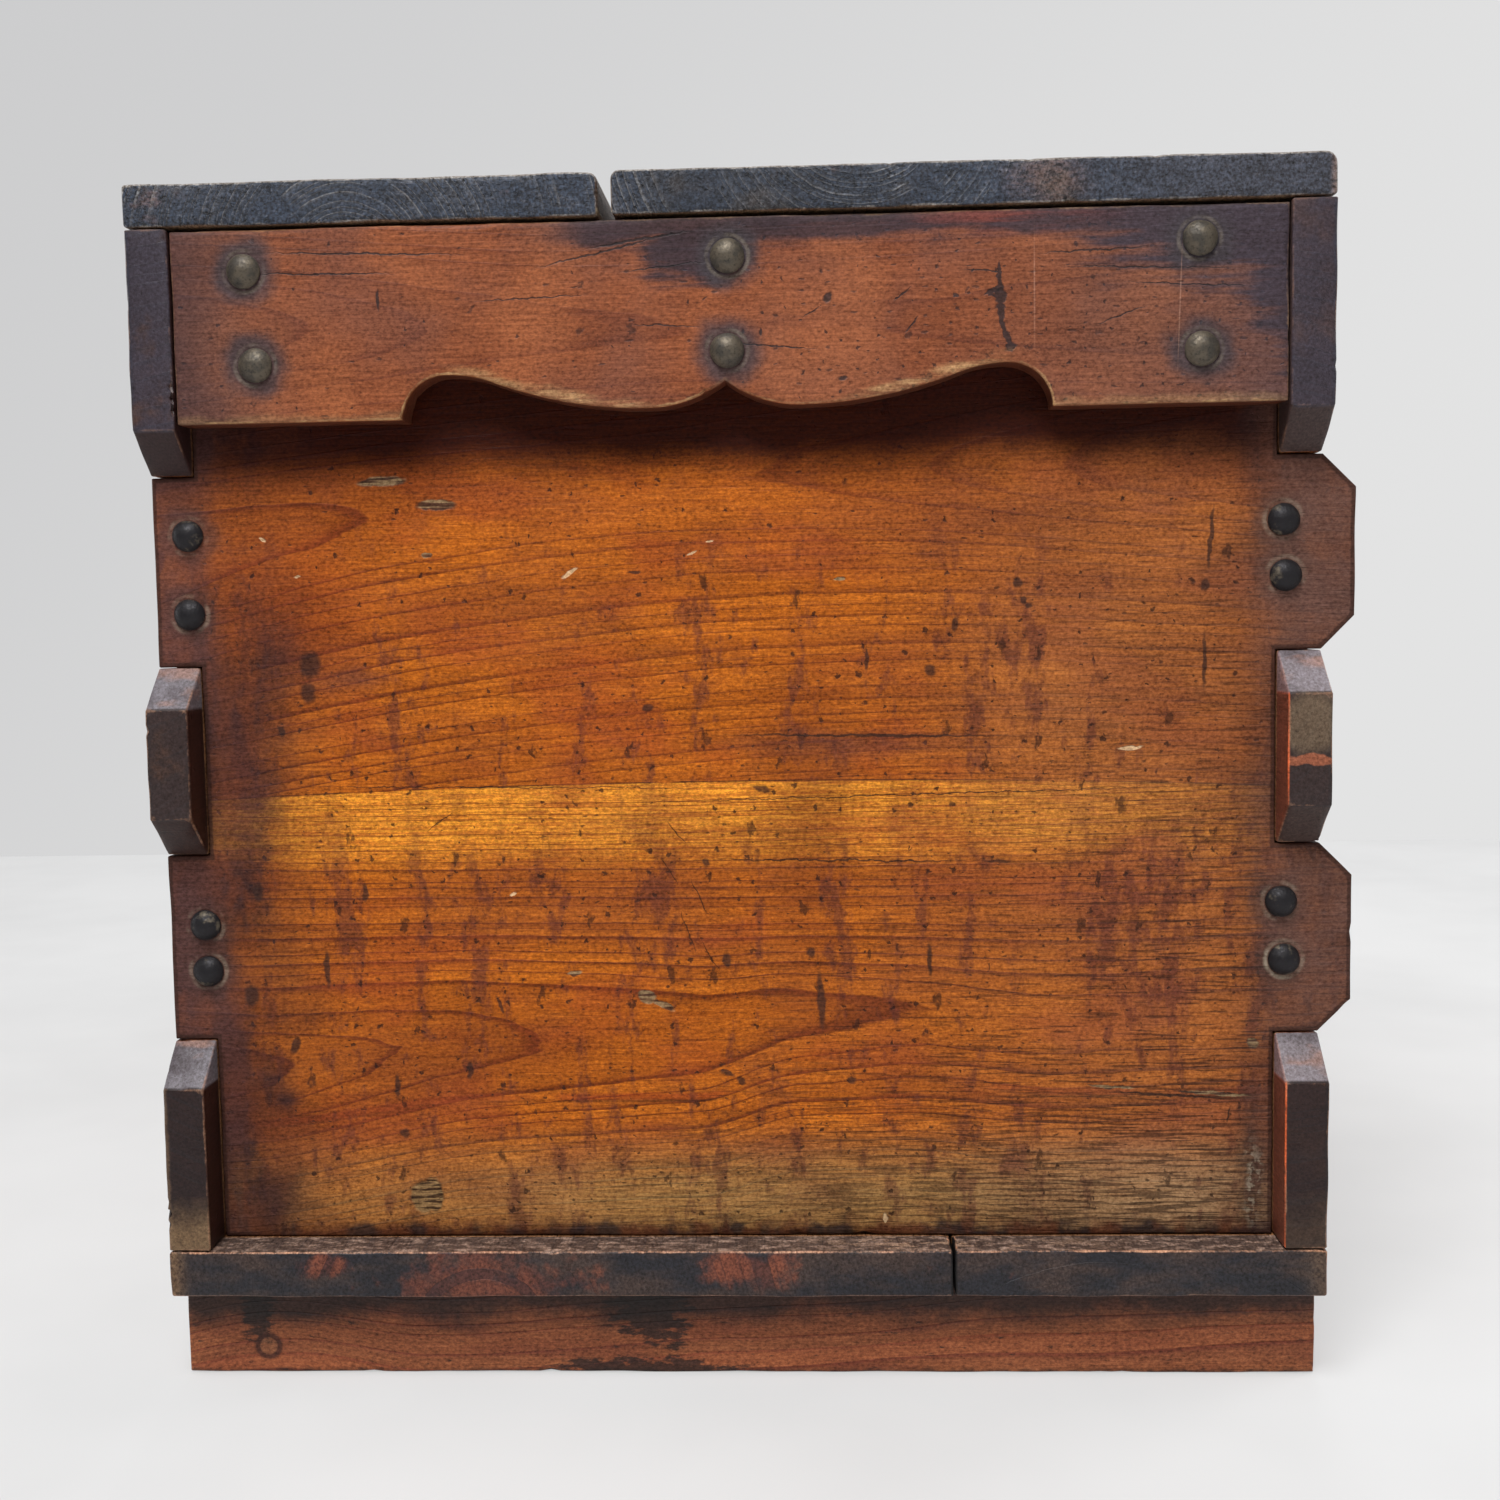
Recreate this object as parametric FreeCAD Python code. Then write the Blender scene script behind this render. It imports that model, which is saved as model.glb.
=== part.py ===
"""Comb-jointed plank chest on a plinth, with a fixed back top board and a lift-off lid.

Millimetres, +Z up. The chest lies lengthwise along Y and its front faces +X, the side
where the end boards' fingers stand proud. The origin is on the ground, at the centre of
the whole chest's box.
"""

import FreeCAD, Part
import math
import os

# Carcase
body_length = 700.0            # over the outer faces of the two end boards
body_width = 480.0             # over the outer faces of the back and front boards
wall_height = 420.0            # of the end, front and back boards
end_board_thickness = 18.0
side_board_thickness = 18.0
floor_thickness = 20.0
floor_seam_inset = 152.0       # width of the narrow floor board, at the front
top_thickness = 17.5
lid_width = 284.0
seam_gap = 5.0                 # open slot between the lid and the fixed top board
seam_round = 3.5               # rounding of the two edges that face the slot

# Comb joint: the side boards own the top, middle and bottom bands
top_finger_height = 97.0
bottom_finger_height = 86.0
middle_bands = 3               # equal bands between the top and bottom fingers
end_projection = 17.0          # of the side boards' fingers, the floor and the top
front_projection = 13.5        # of the end boards' fingers past the front board
chamfer_angle = 45.0           # of the finger tips

# Plinth
plinth_height = 40.0
plinth_thickness = 24.0

# Apron with its scalloped lower edge
apron_drop = 78.0              # from the walls' top to the flat stretches of the lower edge
apron_recess = 1.5             # behind the finger tips
apron_top_gap = 1.0
peak_place = 112.0             # from the middle to each peak of the scallop
peak_rise = 17.5
belly_place = 30.0
belly_rise = 2.7
belly_share = 0.77             # of the curve from belly to peak that the lower arc takes
cusp_rise = 12.8

# Rail under the slot, and the lid's battens
rail_width = 40.0
rail_height = 25.0
batten_width = 40.0
batten_height = 20.0
batten_clearance = 3.0         # to the walls and to the rail
lid_seat_clearance = 0.3

# Hand-forged nails: domed studs and flush square heads
dome_radius = 7.5
dome_height = 4.8
dome_rim = 0.9
dome_sides = 12
dome_rings = 4                 # of facets between the rim and the small flat crown
shank_width = 3.4
shank_tip_width = 1.2
flush_head_width = 6.5
flush_head_depth = 1.8
comb_nail_length = 45.0
apron_stud_length = 30.0
top_nail_length = 36.0
floor_nail_length = 50.0
plinth_nail_length = 55.0
batten_nail_length = 31.0

# Nail places
comb_stud_inset = 15.0         # from a side board's outer face to the studs in its edge
comb_band_inset = 25.0         # from a band's edge to its nearest nail
apron_stud_inset = 33.5        # from each end of the apron
apron_row_upper = 17.0         # below the walls' top
apron_row_lower = 55.0
top_nail_inset = 35.0          # from the back face and from the slot
rail_nail_inset = 8.0          # from the fixed board's seam edge
long_row_spacing = 200.0       # between nails that follow the chest's length
floor_nail_inset = 60.0        # from the long sides to the nails into the end boards
plinth_nail_inset = 30.0
batten_nail_inset = 30.0

# How far each hand-driven stud strays from its nominal place, across and up
end_stud_drift = [(0.0, 0.5), (-0.6, -3.0), (0.5, -4.7), (0.9, 4.6),
                  (-0.7, -1.3), (0.2, 5.2), (-0.7, 0.8), (0.7, 5.7)]
apron_stud_drift = [(-3.5, -0.8), (-0.1, 0.1), (1.9, 0.4), (1.2, 1.6), (-1.6, 2.5), (-0.7, -2.1)]

# Levels and faces worked out from the sizes above
origin_shift = -front_projection / 2
back_face = -body_width / 2 + origin_shift
front_face = body_width / 2 + origin_shift
back_inner = back_face + side_board_thickness
front_inner = front_face - side_board_thickness
middle = (back_face + front_face) / 2
near_face = -body_length / 2
far_face = body_length / 2
near_inner = near_face + end_board_thickness
near_tip = near_face - end_projection
far_tip = far_face + end_projection
floor_top = plinth_height + floor_thickness
wall_top = floor_top + wall_height
top_top = wall_top + top_thickness
lid_base = wall_top + lid_seat_clearance
lid_back = front_face - lid_width
fixed_front = lid_back - seam_gap
rail_middle = (lid_back + fixed_front) / 2
apron_face = near_tip + apron_recess
ends = (-1, 1)

X = FreeCAD.Vector(1, 0, 0)
Y = FreeCAD.Vector(0, 1, 0)
Z = FreeCAD.Vector(0, 0, 1)


def box(low, high):
    """Straight board between two opposite corners."""
    size = [b - a for a, b in zip(low, high)]
    return Part.makeBox(*size, FreeCAD.Vector(*low))


def prism(edges, direction):
    """Solid made by carrying a closed outline of edges along a vector."""
    return Part.Face(Part.Wire(edges)).extrude(direction)


def polygon_edges(points):
    """Closed run of straight edges through the points."""
    return Part.makePolygon(points + [points[0]]).Edges


def arc(centre, radius, start, stop, y):
    """Arc in the plane of the end boards, between two angles in degrees."""
    def at(angle):
        a = math.radians(angle)
        return FreeCAD.Vector(centre[0] + radius * math.cos(a), y, centre[1] + radius * math.sin(a))
    return Part.Arc(at(start), at((start + stop) / 2), at(stop)).toShape()


def band_levels():
    """Heights of the comb's band edges, from the floor up."""
    low = floor_top + bottom_finger_height
    step = (wall_top - top_finger_height - low) / middle_bands
    return [floor_top] + [low + i * step for i in range(middle_bands + 1)] + [wall_top]


def comb_edge(levels, owned, root, face, tip):
    """Points up one end of a board, as (reach, height).

    In its own bands the board runs from the root through the other board's outer face to
    the tip, and between face and tip it is chamfered. In the other bands it stops at the
    root.
    """
    rise = abs(tip - face) * math.tan(math.radians(chamfer_angle))
    points = []
    for i in range(len(levels) - 1):
        low, high = levels[i], levels[i + 1]
        if i not in owned:
            points += [(root, low), (root, high)]
            continue
        if i == 0 or rise == 0:
            points.append((tip, low))
        else:
            points += [(face, low), (tip, low + rise)]
        if i == len(levels) - 2 or rise == 0:
            points.append((tip, high))
        else:
            points += [(tip, high - rise), (face, high)]
    return points


def side_board(outer, thickness):
    """Front or back board: fingers in the top, middle and bottom bands at both ends."""
    levels = band_levels()
    owned = range(0, len(levels), 2)
    near = comb_edge(levels, owned, near_inner, near_face, near_tip)
    far = [(-reach, height) for reach, height in reversed(near)]
    outline = [FreeCAD.Vector(outer, reach, height) for reach, height in near + far]
    return prism(polygon_edges(outline), X * thickness)


def end_board(outer, thickness):
    """End board: fingers in the bands between, proud at the front and flush at the back."""
    levels = band_levels()
    owned = range(1, len(levels), 2)
    front = comb_edge(levels, owned, front_inner, front_face, front_face + front_projection)
    back = comb_edge(levels, owned, back_inner, back_face, back_face)
    outline = [FreeCAD.Vector(reach, outer, height) for reach, height in back + front[::-1]]
    return prism(polygon_edges(outline), Y * thickness)


def rounded_board(low, high, round_front):
    """Top board whose upper edge along the slot is rounded, at its front or its back."""
    x0, y, z0 = low
    x1, z1 = high[0], high[2]
    r = seam_round
    def at(x, z):
        return FreeCAD.Vector(x, y, z)
    if round_front:
        corner = arc((x1 - r, z1 - r), r, 90, 0, y)
        run = Part.makePolygon([at(x1, z1 - r), at(x1, z0), at(x0, z0), at(x0, z1), at(x1 - r, z1)])
    else:
        corner = arc((x0 + r, z1 - r), r, 90, 180, y)
        run = Part.makePolygon([at(x0, z1 - r), at(x0, z0), at(x1, z0), at(x1, z1), at(x0 + r, z1)])
    return prism([corner] + run.Edges, Y * (high[1] - y))


def scallop_edges(flat, y):
    """Right half of the apron's lower edge, from the cusp out to the flat stretch.

    A cusp arc falls to the belly, two arcs of one slope rise from the belly to the peak,
    and a quarter circle drops from the peak to the flat stretch.
    """
    cusp_fall = cusp_rise - belly_rise
    cusp_radius = (belly_place ** 2 + cusp_fall ** 2) / (2 * cusp_fall)
    cusp_turn = math.degrees(math.asin(belly_place / cusp_radius))
    run = peak_place - belly_place
    rise = peak_rise - belly_rise
    slope = 2 * math.atan2(rise, run)
    both_radii = run / math.sin(slope)
    belly_radius = both_radii * belly_share
    peak_radius = both_radii - belly_radius
    turn = math.degrees(slope)
    base = flat + belly_rise
    belly = (middle + belly_place, base + cusp_radius)
    lower = (middle + belly_place, base + belly_radius)
    upper = (middle + peak_place, flat + peak_rise - peak_radius)
    return [arc(belly, cusp_radius, -90 - cusp_turn, -90, y),
            arc(lower, belly_radius, -90, -90 + turn, y),
            arc(upper, peak_radius, 90 + turn, 90, y),
            arc((middle + peak_place, flat), peak_rise, 90, 0, y)]


def apron():
    """Scalloped board fixed across the near end, between the top fingers."""
    flat = wall_top - apron_drop
    top = wall_top - apron_top_gap
    y = near_face
    half = scallop_edges(flat, y)
    mirror = [edge.mirror(FreeCAD.Vector(middle, y, 0), X) for edge in half]
    hook = peak_place + peak_rise
    def at(x, z):
        return FreeCAD.Vector(x, y, z)
    rim = [at(middle + hook, flat), at(front_inner, flat), at(front_inner, top),
           at(back_inner, top), at(back_inner, flat), at(middle - hook, flat)]
    wire = Part.Wire(Part.__sortEdges__(half + Part.makePolygon(rim).Edges + mirror))
    return Part.Face(wire).extrude(Y * (apron_face - y))


def stacked(sides, rings):
    """Solid with flat facets, through regular polygons given as (radius, height) upwards."""
    def corner(i, radius, height):
        a = 2 * math.pi * (i + 0.5) / sides
        return FreeCAD.Vector(radius * math.cos(a), radius * math.sin(a), height)
    loops = [[corner(i, *ring) for i in range(sides)] for ring in rings]
    facets = [loops[0][::-1], loops[-1]]
    for low, high in zip(loops, loops[1:]):
        for i in range(sides):
            j = (i + 1) % sides
            facets.append([low[i], low[j], high[j], high[i]])
    faces = [Part.Face(Part.makePolygon(points + [points[0]])) for points in facets]
    return Part.makeSolid(Part.makeShell(faces))


def shank(top, length):
    """Tapered square shank that points down from a height."""
    corner_ratio = math.sqrt(2) / 2
    return stacked(4, [(shank_tip_width * corner_ratio, top - length),
                       (shank_width * corner_ratio, top)])


def dome_head():
    """Low dome hammered to flat facets, on a short rim that stands on the board's face."""
    bulge = dome_height - dome_rim
    radius = (dome_radius ** 2 + bulge ** 2) / (2 * bulge)
    spread = math.asin(dome_radius / radius)
    rings = [(dome_radius, 0.0)]
    for i in range(dome_rings):
        a = spread * (1 - i / dome_rings)
        rings.append((radius * math.sin(a), dome_height - radius * (1 - math.cos(a))))
    return stacked(dome_sides, rings)


def stud(length):
    """Domed nail whose head seats at height zero."""
    return dome_head().fuse(shank(0.0, length)).removeSplitter()


def flush_nail(length):
    """Square-headed nail driven flush with the face at height zero."""
    h = flush_head_width / 2
    head = box((-h, -h, -flush_head_depth), (h, h, 0))
    return head.fuse(shank(-flush_head_depth, length - flush_head_depth)).removeSplitter()


def driven(nail, outward, places):
    """Copies of a nail at each place, all with their heads facing the same way."""
    turn = FreeCAD.Rotation(Z, FreeCAD.Vector(*outward))
    copies = []
    for place in places:
        copy = nail.copy()
        copy.Placement = FreeCAD.Placement(FreeCAD.Vector(*place), turn)
        copies.append(copy)
    return copies


def band_pairs(owned):
    """Two nail heights in each of the given bands, upper one first."""
    levels = band_levels()
    return [height for i in owned
            for height in (levels[i + 1] - comb_band_inset, levels[i] + comb_band_inset)]


def row(count, spacing):
    """Places of an evenly spaced row, centred on zero."""
    return [(i - (count - 1) / 2) * spacing for i in range(count)]


def end_studs(side):
    """Studs through the end board's fingers into the edges of the back and front boards."""
    heights = band_pairs(range(middle_bands, 0, -2))
    columns = (back_face + comb_stud_inset, front_face - comb_stud_inset)
    drift = end_stud_drift if side < 0 else end_stud_drift[::-1]
    nominal = [(x, z) for x in columns for z in heights]
    places = [(x + dx, side * body_length / 2, z + dz) for (x, z), (dx, dz) in zip(nominal, drift)]
    return driven(stud(comb_nail_length), (0, side, 0), places)


def apron_studs(side):
    """Three pairs of studs through the apron into the end board."""
    columns = (back_inner + apron_stud_inset, middle, front_inner - apron_stud_inset)
    rows = (wall_top - apron_row_upper, wall_top - apron_row_lower)
    drift = apron_stud_drift if side < 0 else apron_stud_drift[::-1]
    nominal = [(x, z) for x in columns for z in rows]
    places = [(x + dx, side * abs(apron_face), z + dz) for (x, z), (dx, dz) in zip(nominal, drift)]
    return driven(stud(apron_stud_length), (0, side, 0), places)


def side_nails(nail, face, outward):
    """Nails through a side board's fingers into the edges of the two end boards."""
    heights = band_pairs(range(middle_bands + 1, -1, -2))
    depth = body_length / 2 - end_board_thickness / 2
    places = [(face, side * depth, z) for side in ends for z in heights]
    return driven(nail, (outward, 0, 0), places)


def top_nails():
    """Flush nails that hold the fixed board to the end boards, the back board and the rail."""
    across = body_length / 2 - end_board_thickness / 2
    places = [(x, side * across, top_top) for side in ends
              for x in (back_face + top_nail_inset, fixed_front - top_nail_inset)]
    places += [(back_face + side_board_thickness / 2, y, top_top) for y in row(3, long_row_spacing)]
    places += [(fixed_front - rail_nail_inset, y, top_top) for y in row(3, long_row_spacing)]
    return driven(flush_nail(top_nail_length), (0, 0, 1), places)


def floor_nails():
    """Flush nails driven up through the floor boards into the walls."""
    across = body_length / 2 - end_board_thickness / 2
    columns = (back_face + floor_nail_inset, middle, front_face - floor_nail_inset)
    places = [(x, side * across, plinth_height) for side in ends for x in columns]
    for x in (back_face + side_board_thickness / 2, front_face - side_board_thickness / 2):
        places += [(x, y, plinth_height) for y in row(3, long_row_spacing)]
    return driven(flush_nail(floor_nail_length), (0, 0, -1), places)


def plinth_nails():
    """Flush nails driven up through the plinth rails into the floor boards."""
    across = body_length / 2 - plinth_thickness / 2
    inset = plinth_nail_inset
    columns = (back_face + inset, middle + inset, front_face - inset)
    places = [(x, side * across, 0) for side in ends for x in columns]
    for x in (back_face + plinth_thickness / 2, front_face - plinth_thickness / 2):
        places += [(x, y, 0) for y in row(2, long_row_spacing)]
    return driven(flush_nail(plinth_nail_length), (0, 0, -1), places)


def batten_place(side):
    """Lower and upper Y of a lid batten, beside the end board on that side."""
    outer = body_length / 2 - end_board_thickness - batten_clearance
    return sorted((side * outer, side * (outer - batten_width)))


def batten(side):
    """Cross batten under the lid that drops inside the walls and keeps the lid in place."""
    y0, y1 = batten_place(side)
    x0 = rail_middle + rail_width / 2 + batten_clearance
    x1 = front_inner - batten_clearance
    return box((x0, y0, lid_base - batten_height), (x1, y1, lid_base))


def lid_nails():
    """Flush nails through the lid into its battens."""
    x0 = rail_middle + rail_width / 2 + batten_clearance + batten_nail_inset
    x1 = front_inner - batten_clearance - batten_nail_inset
    places = [(x, sum(batten_place(side)) / 2, lid_base + top_thickness)
              for side in ends for x in (x0, (x0 + x1) / 2, x1)]
    return driven(flush_nail(batten_nail_length), (0, 0, 1), places)


def bored(board, *groups):
    """Board with the nails' own shapes taken out of it."""
    return board.cut(Part.makeCompound([nail for group in groups for nail in group]))


def mirrored_lengthwise(shape):
    """The same piece at the chest's other end."""
    return shape.mirror(FreeCAD.Vector(0, 0, 0), Y)


# Nails first, because every board they cross is bored to fit them
studs_near = end_studs(-1)
studs_far = end_studs(1)
apron_near_studs = apron_studs(-1)
apron_far_studs = apron_studs(1)
front_face_studs = side_nails(stud(comb_nail_length), front_face, 1)
back_face_nails = side_nails(flush_nail(comb_nail_length), back_face, -1)
fixed_top_nails = top_nails()
floor_up_nails = floor_nails()
plinth_up_nails = plinth_nails()
lid_down_nails = lid_nails()

# Boards
rail = box((rail_middle - rail_width / 2, near_face, wall_top - rail_height),
           (rail_middle + rail_width / 2, far_face, wall_top))
front = side_board(front_inner, side_board_thickness)
back = side_board(back_face, side_board_thickness)
wall_nails = (front_face_studs, back_face_nails, fixed_top_nails, floor_up_nails)
floor_seam = front_face - floor_seam_inset
floor_nail_groups = (floor_up_nails, plinth_up_nails)
plinth_inner = body_length / 2 - plinth_thickness

nodes = {
    "end_board_near": bored(end_board(near_face, end_board_thickness).cut(rail),
                            studs_near, apron_near_studs, *wall_nails),
    "end_board_far": bored(end_board(far_face, -end_board_thickness).cut(rail),
                           studs_far, apron_far_studs, *wall_nails),
    "front_board": bored(front, studs_near, studs_far, *wall_nails),
    "back_board": bored(back, studs_near, studs_far, *wall_nails),
    "floor_board_wide": bored(box((back_face, near_tip, plinth_height),
                                  (floor_seam, far_tip, floor_top)), *floor_nail_groups),
    "floor_board_narrow": bored(box((floor_seam, near_tip, plinth_height),
                                    (front_face, far_tip, floor_top)), *floor_nail_groups),
    "plinth_rail_near": bored(box((back_face, near_face, 0),
                                  (front_face, -plinth_inner, plinth_height)), plinth_up_nails),
    "plinth_rail_far": bored(box((back_face, plinth_inner, 0),
                                 (front_face, far_face, plinth_height)), plinth_up_nails),
    "plinth_rail_front": bored(box((front_face - plinth_thickness, -plinth_inner, 0),
                                   (front_face, plinth_inner, plinth_height)), plinth_up_nails),
    "plinth_rail_back": bored(box((back_face, -plinth_inner, 0),
                                  (back_face + plinth_thickness, plinth_inner, plinth_height)),
                              plinth_up_nails),
    "apron_near": bored(apron(), apron_near_studs),
    "apron_far": bored(mirrored_lengthwise(apron()), apron_far_studs),
    "top_board_fixed": bored(rounded_board((back_face, near_tip, wall_top),
                                           (fixed_front, far_tip, top_top), True),
                             fixed_top_nails),
    "seam_rail": bored(rail, fixed_top_nails),
    "lid_board": bored(rounded_board((lid_back, near_tip, lid_base),
                                     (front_face, far_tip, lid_base + top_thickness), False),
                       lid_down_nails),
    "lid_batten_near": bored(batten(-1), lid_down_nails),
    "lid_batten_far": bored(batten(1), lid_down_nails),
    "end_studs_near": studs_near,
    "end_studs_far": studs_far,
    "apron_studs_near": apron_near_studs,
    "apron_studs_far": apron_far_studs,
    "front_studs": front_face_studs,
    "back_nails": back_face_nails,
    "top_nails": fixed_top_nails,
    "floor_nails": floor_up_nails,
    "plinth_nails": plinth_up_nails,
    "lid_nails": lid_down_nails,
}

os.makedirs("parts", exist_ok=True)
for name, shape in nodes.items():
    solids = shape if isinstance(shape, list) else shape.Solids
    whole = solids[0] if len(solids) == 1 else Part.makeCompound(solids)
    whole.exportStep("parts/" + name + ".step")
    print(name, len(solids), "solids", round(whole.Volume / 1000, 1), "cm3")
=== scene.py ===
"""Looks of a comb-jointed plank chest: worn timber, sooty end grain and hand-forged studs.

Metres, +Z up, the chest's length along Y and its front towards +X. Boards are rebuilt as
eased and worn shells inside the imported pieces, and every finish is made of shader nodes.
"""

import logging
import math
from collections.abc import Sequence
from dataclasses import dataclass, replace
from enum import Enum
from functools import cache, partial, reduce

import bmesh
import bpy
import numpy as np
from mathutils import Matrix, Vector


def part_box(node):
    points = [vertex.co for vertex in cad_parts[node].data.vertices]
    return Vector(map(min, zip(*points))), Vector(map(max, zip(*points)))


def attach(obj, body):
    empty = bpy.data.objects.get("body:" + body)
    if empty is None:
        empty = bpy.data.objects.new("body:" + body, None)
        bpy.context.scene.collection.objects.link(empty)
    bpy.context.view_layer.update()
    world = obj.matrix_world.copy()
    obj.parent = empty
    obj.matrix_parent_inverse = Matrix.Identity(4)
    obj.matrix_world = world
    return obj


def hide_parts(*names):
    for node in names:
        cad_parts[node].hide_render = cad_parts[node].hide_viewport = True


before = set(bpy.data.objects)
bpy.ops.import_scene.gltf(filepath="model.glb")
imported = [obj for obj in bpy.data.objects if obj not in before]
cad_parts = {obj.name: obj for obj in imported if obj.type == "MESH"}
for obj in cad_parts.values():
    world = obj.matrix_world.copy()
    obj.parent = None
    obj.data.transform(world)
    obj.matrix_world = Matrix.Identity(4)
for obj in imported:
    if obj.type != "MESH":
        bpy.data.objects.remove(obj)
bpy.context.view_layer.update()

log = logging.getLogger("chest")

MM = 0.001

# A nail's crown lies within the first of its outermost point, and two crowns never within the second
CROWN_DEPTH = 0.05 * MM
HEAD_SPAN = 11 * MM

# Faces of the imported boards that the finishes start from, in millimetres from the origin
END_FACE = 350
APRON_FACE = 365.5
TIP_FACE = 367
MIDDLE = -6.75
FLOOR_SEAM = 81.25

Socket = bpy.types.NodeSocket
Tree = bpy.types.NodeTree
Material = bpy.types.Material
Value = Socket | float | Sequence[float] | None
Place = tuple[float, float]
Places = Sequence[tuple[float, float]]
Colour = tuple[float, ...]
Array = np.ndarray
Ring = tuple[Array, Array]


class Side(Enum):
    """End of the chest, as the sign of its Y."""

    NEAR = -1
    FAR = 1


class Run(Enum):
    """Direction that a board's outline is carried along, with the outline's own two axes."""

    ACROSS = (0, (1, 2))
    LENGTHWISE = (1, (0, 2))

    @property
    def carried(self) -> int:
        """Index of the axis that the outline moves along."""
        return self.value[0]

    @property
    def plane(self) -> tuple[int, int]:
        """Indices of the outline's own axes."""
        return self.value[1]


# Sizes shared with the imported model, read from its pieces


class Carcase:
    """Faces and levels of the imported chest, in metres."""

    def __init__(self) -> None:
        """Reads each face from the node that owns it."""
        end_low, end_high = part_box("end_board_near")
        front_low, front_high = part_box("front_board")
        back_low, back_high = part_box("back_board")
        apron_low, apron_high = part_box("apron_near")
        self.near_face = end_low.y
        self.near_inner = end_high.y
        self.near_tip = front_low.y
        self.end_front_tip = end_high.x
        self.front_face = front_high.x
        self.front_inner = front_low.x
        self.back_face = back_low.x
        self.back_inner = back_high.x
        self.middle = (self.back_face + self.front_face) / 2
        self.floor_top = front_low.z
        self.wall_top = front_high.z
        self.apron_flat = apron_low.z
        self.apron_top = apron_high.z


@dataclass(frozen=True)
class Comb:
    """Sizes of the comb joint's fingers, in metres."""

    top_finger: float = 97 * MM
    bottom_finger: float = 86 * MM
    middle_bands: int = 3

    def levels(self, low: float, high: float) -> list[float]:
        """Heights of the band edges, from the floor's top to the walls' top."""
        first, last = low + self.bottom_finger, high - self.top_finger
        return [low, *np.linspace(first, last, self.middle_bands + 1).tolist(), high]

    def edge(self, levels: Sequence[float], owned: range, root: float, face: float,
             tip: float) -> list[Place]:
        """Points up one end of a board; its own fingers are chamfered from face to tip.

        Args:
            levels: Band edges from the floor up.
            owned: Bands in which the board has a finger.
            root: Reach of the board where it has no finger.
            face: Outer face of the board that it crosses.
            tip: Reach of the fingers.

        Returns:
            Points as (reach, height).
        """
        rise = abs(tip - face)
        points: list[Place] = []
        for i in range(len(levels) - 1):
            low, high = levels[i], levels[i + 1]
            if i not in owned:
                points += [(root, low), (root, high)]
                continue
            points += [(tip, low)] if i == 0 or rise == 0 else [(face, low), (tip, low + rise)]
            is_top = i == len(levels) - 2
            points += [(tip, high)] if is_top or rise == 0 else [(tip, high - rise), (face, high)]
        return points


@dataclass(frozen=True)
class Scallop:
    """Sizes of the apron's lower edge, in metres."""

    peak_place: float = 112 * MM
    peak_rise: float = 17.5 * MM
    belly_place: float = 30 * MM
    belly_rise: float = 2.7 * MM
    belly_share: float = 0.77
    cusp_rise: float = 12.8 * MM
    arc_step: float = 3 * MM

    def half(self) -> Array:
        """Right half of the edge from the cusp out, as offsets from the middle and the flat.

        A cusp arc falls to the belly, two arcs of one slope rise to the peak, and a
        quarter circle drops to the flat stretch.

        Returns:
            Points (n, 2) in metres.
        """
        fall = self.cusp_rise - self.belly_rise
        cusp_radius = (self.belly_place ** 2 + fall ** 2) / (2 * fall)
        cusp_turn = math.asin(self.belly_place / cusp_radius)
        run = self.peak_place - self.belly_place
        slope = 2 * math.atan2(self.peak_rise - self.belly_rise, run)
        both = run / math.sin(slope)
        lower, upper = both * self.belly_share, both * (1 - self.belly_share)
        down = -math.pi / 2
        up = math.pi / 2
        arcs = [((self.belly_place, self.belly_rise + cusp_radius), cusp_radius, down - cusp_turn, down),
                ((self.belly_place, self.belly_rise + lower), lower, down, down + slope),
                ((self.peak_place, self.peak_rise - upper), upper, up + slope, up),
                ((self.peak_place, 0.0), self.peak_rise, up, 0.0)]
        pieces = [self._arc(*arc) for arc in arcs]
        return np.concatenate([pieces[0]] + [piece[1:] for piece in pieces[1:]])

    def _arc(self, centre: Place, radius: float, start: float, stop: float) -> Array:
        """Points (n, 2) along an arc: centre plus radius times (cos, sin) of an even run of angles."""
        angle = np.linspace(start, stop, max(3, math.ceil(abs(stop - start) * radius / self.arc_step)) + 1)
        return np.stack([centre[0] + radius * np.cos(angle), centre[1] + radius * np.sin(angle)], 1)


# Meshes


@dataclass(frozen=True)
class Wear:
    """How a board's edges are eased and eaten, in metres."""

    arris: float = 0.8 * MM
    corner: float = 0.9 * MM
    band: float = 3 * MM
    skin: float = 0.2 * MM
    eaten: float = 0.25 * MM
    bites: float = 1 * MM
    bite_size: float = 25 * MM
    step: float = 4.5 * MM
    pitch: float = 7 * MM
    seed: int = 1


@dataclass(frozen=True)
class Shell:
    """Vertices and faces of a closed surface, with its worn-edge values."""

    points: Array
    faces: list
    arris: Array


def ripple(points: Array, wavelength: float, seed: int, waves: int = 9) -> Array:
    """Smooth noise: the sum of sine waves in random directions, scaled to about -1 to 1.

    Args:
        points: Places (..., 3).
        wavelength: Length of the longest wave.
        seed: Seed of the directions and phases.
        waves: Number of waves, each shorter than the last.

    Returns:
        One value for each place.
    """
    rng = np.random.default_rng(seed)
    heading = rng.normal(size=(waves, 3))
    heading /= np.linalg.norm(heading, axis=1, keepdims=True)
    number = 2 * np.pi / (wavelength * 0.78 ** np.arange(waves))
    phase = rng.uniform(0, 2 * np.pi, waves)
    return np.sin(points @ (heading * number[:, None]).T + phase).sum(-1) / math.sqrt(waves)


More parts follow.
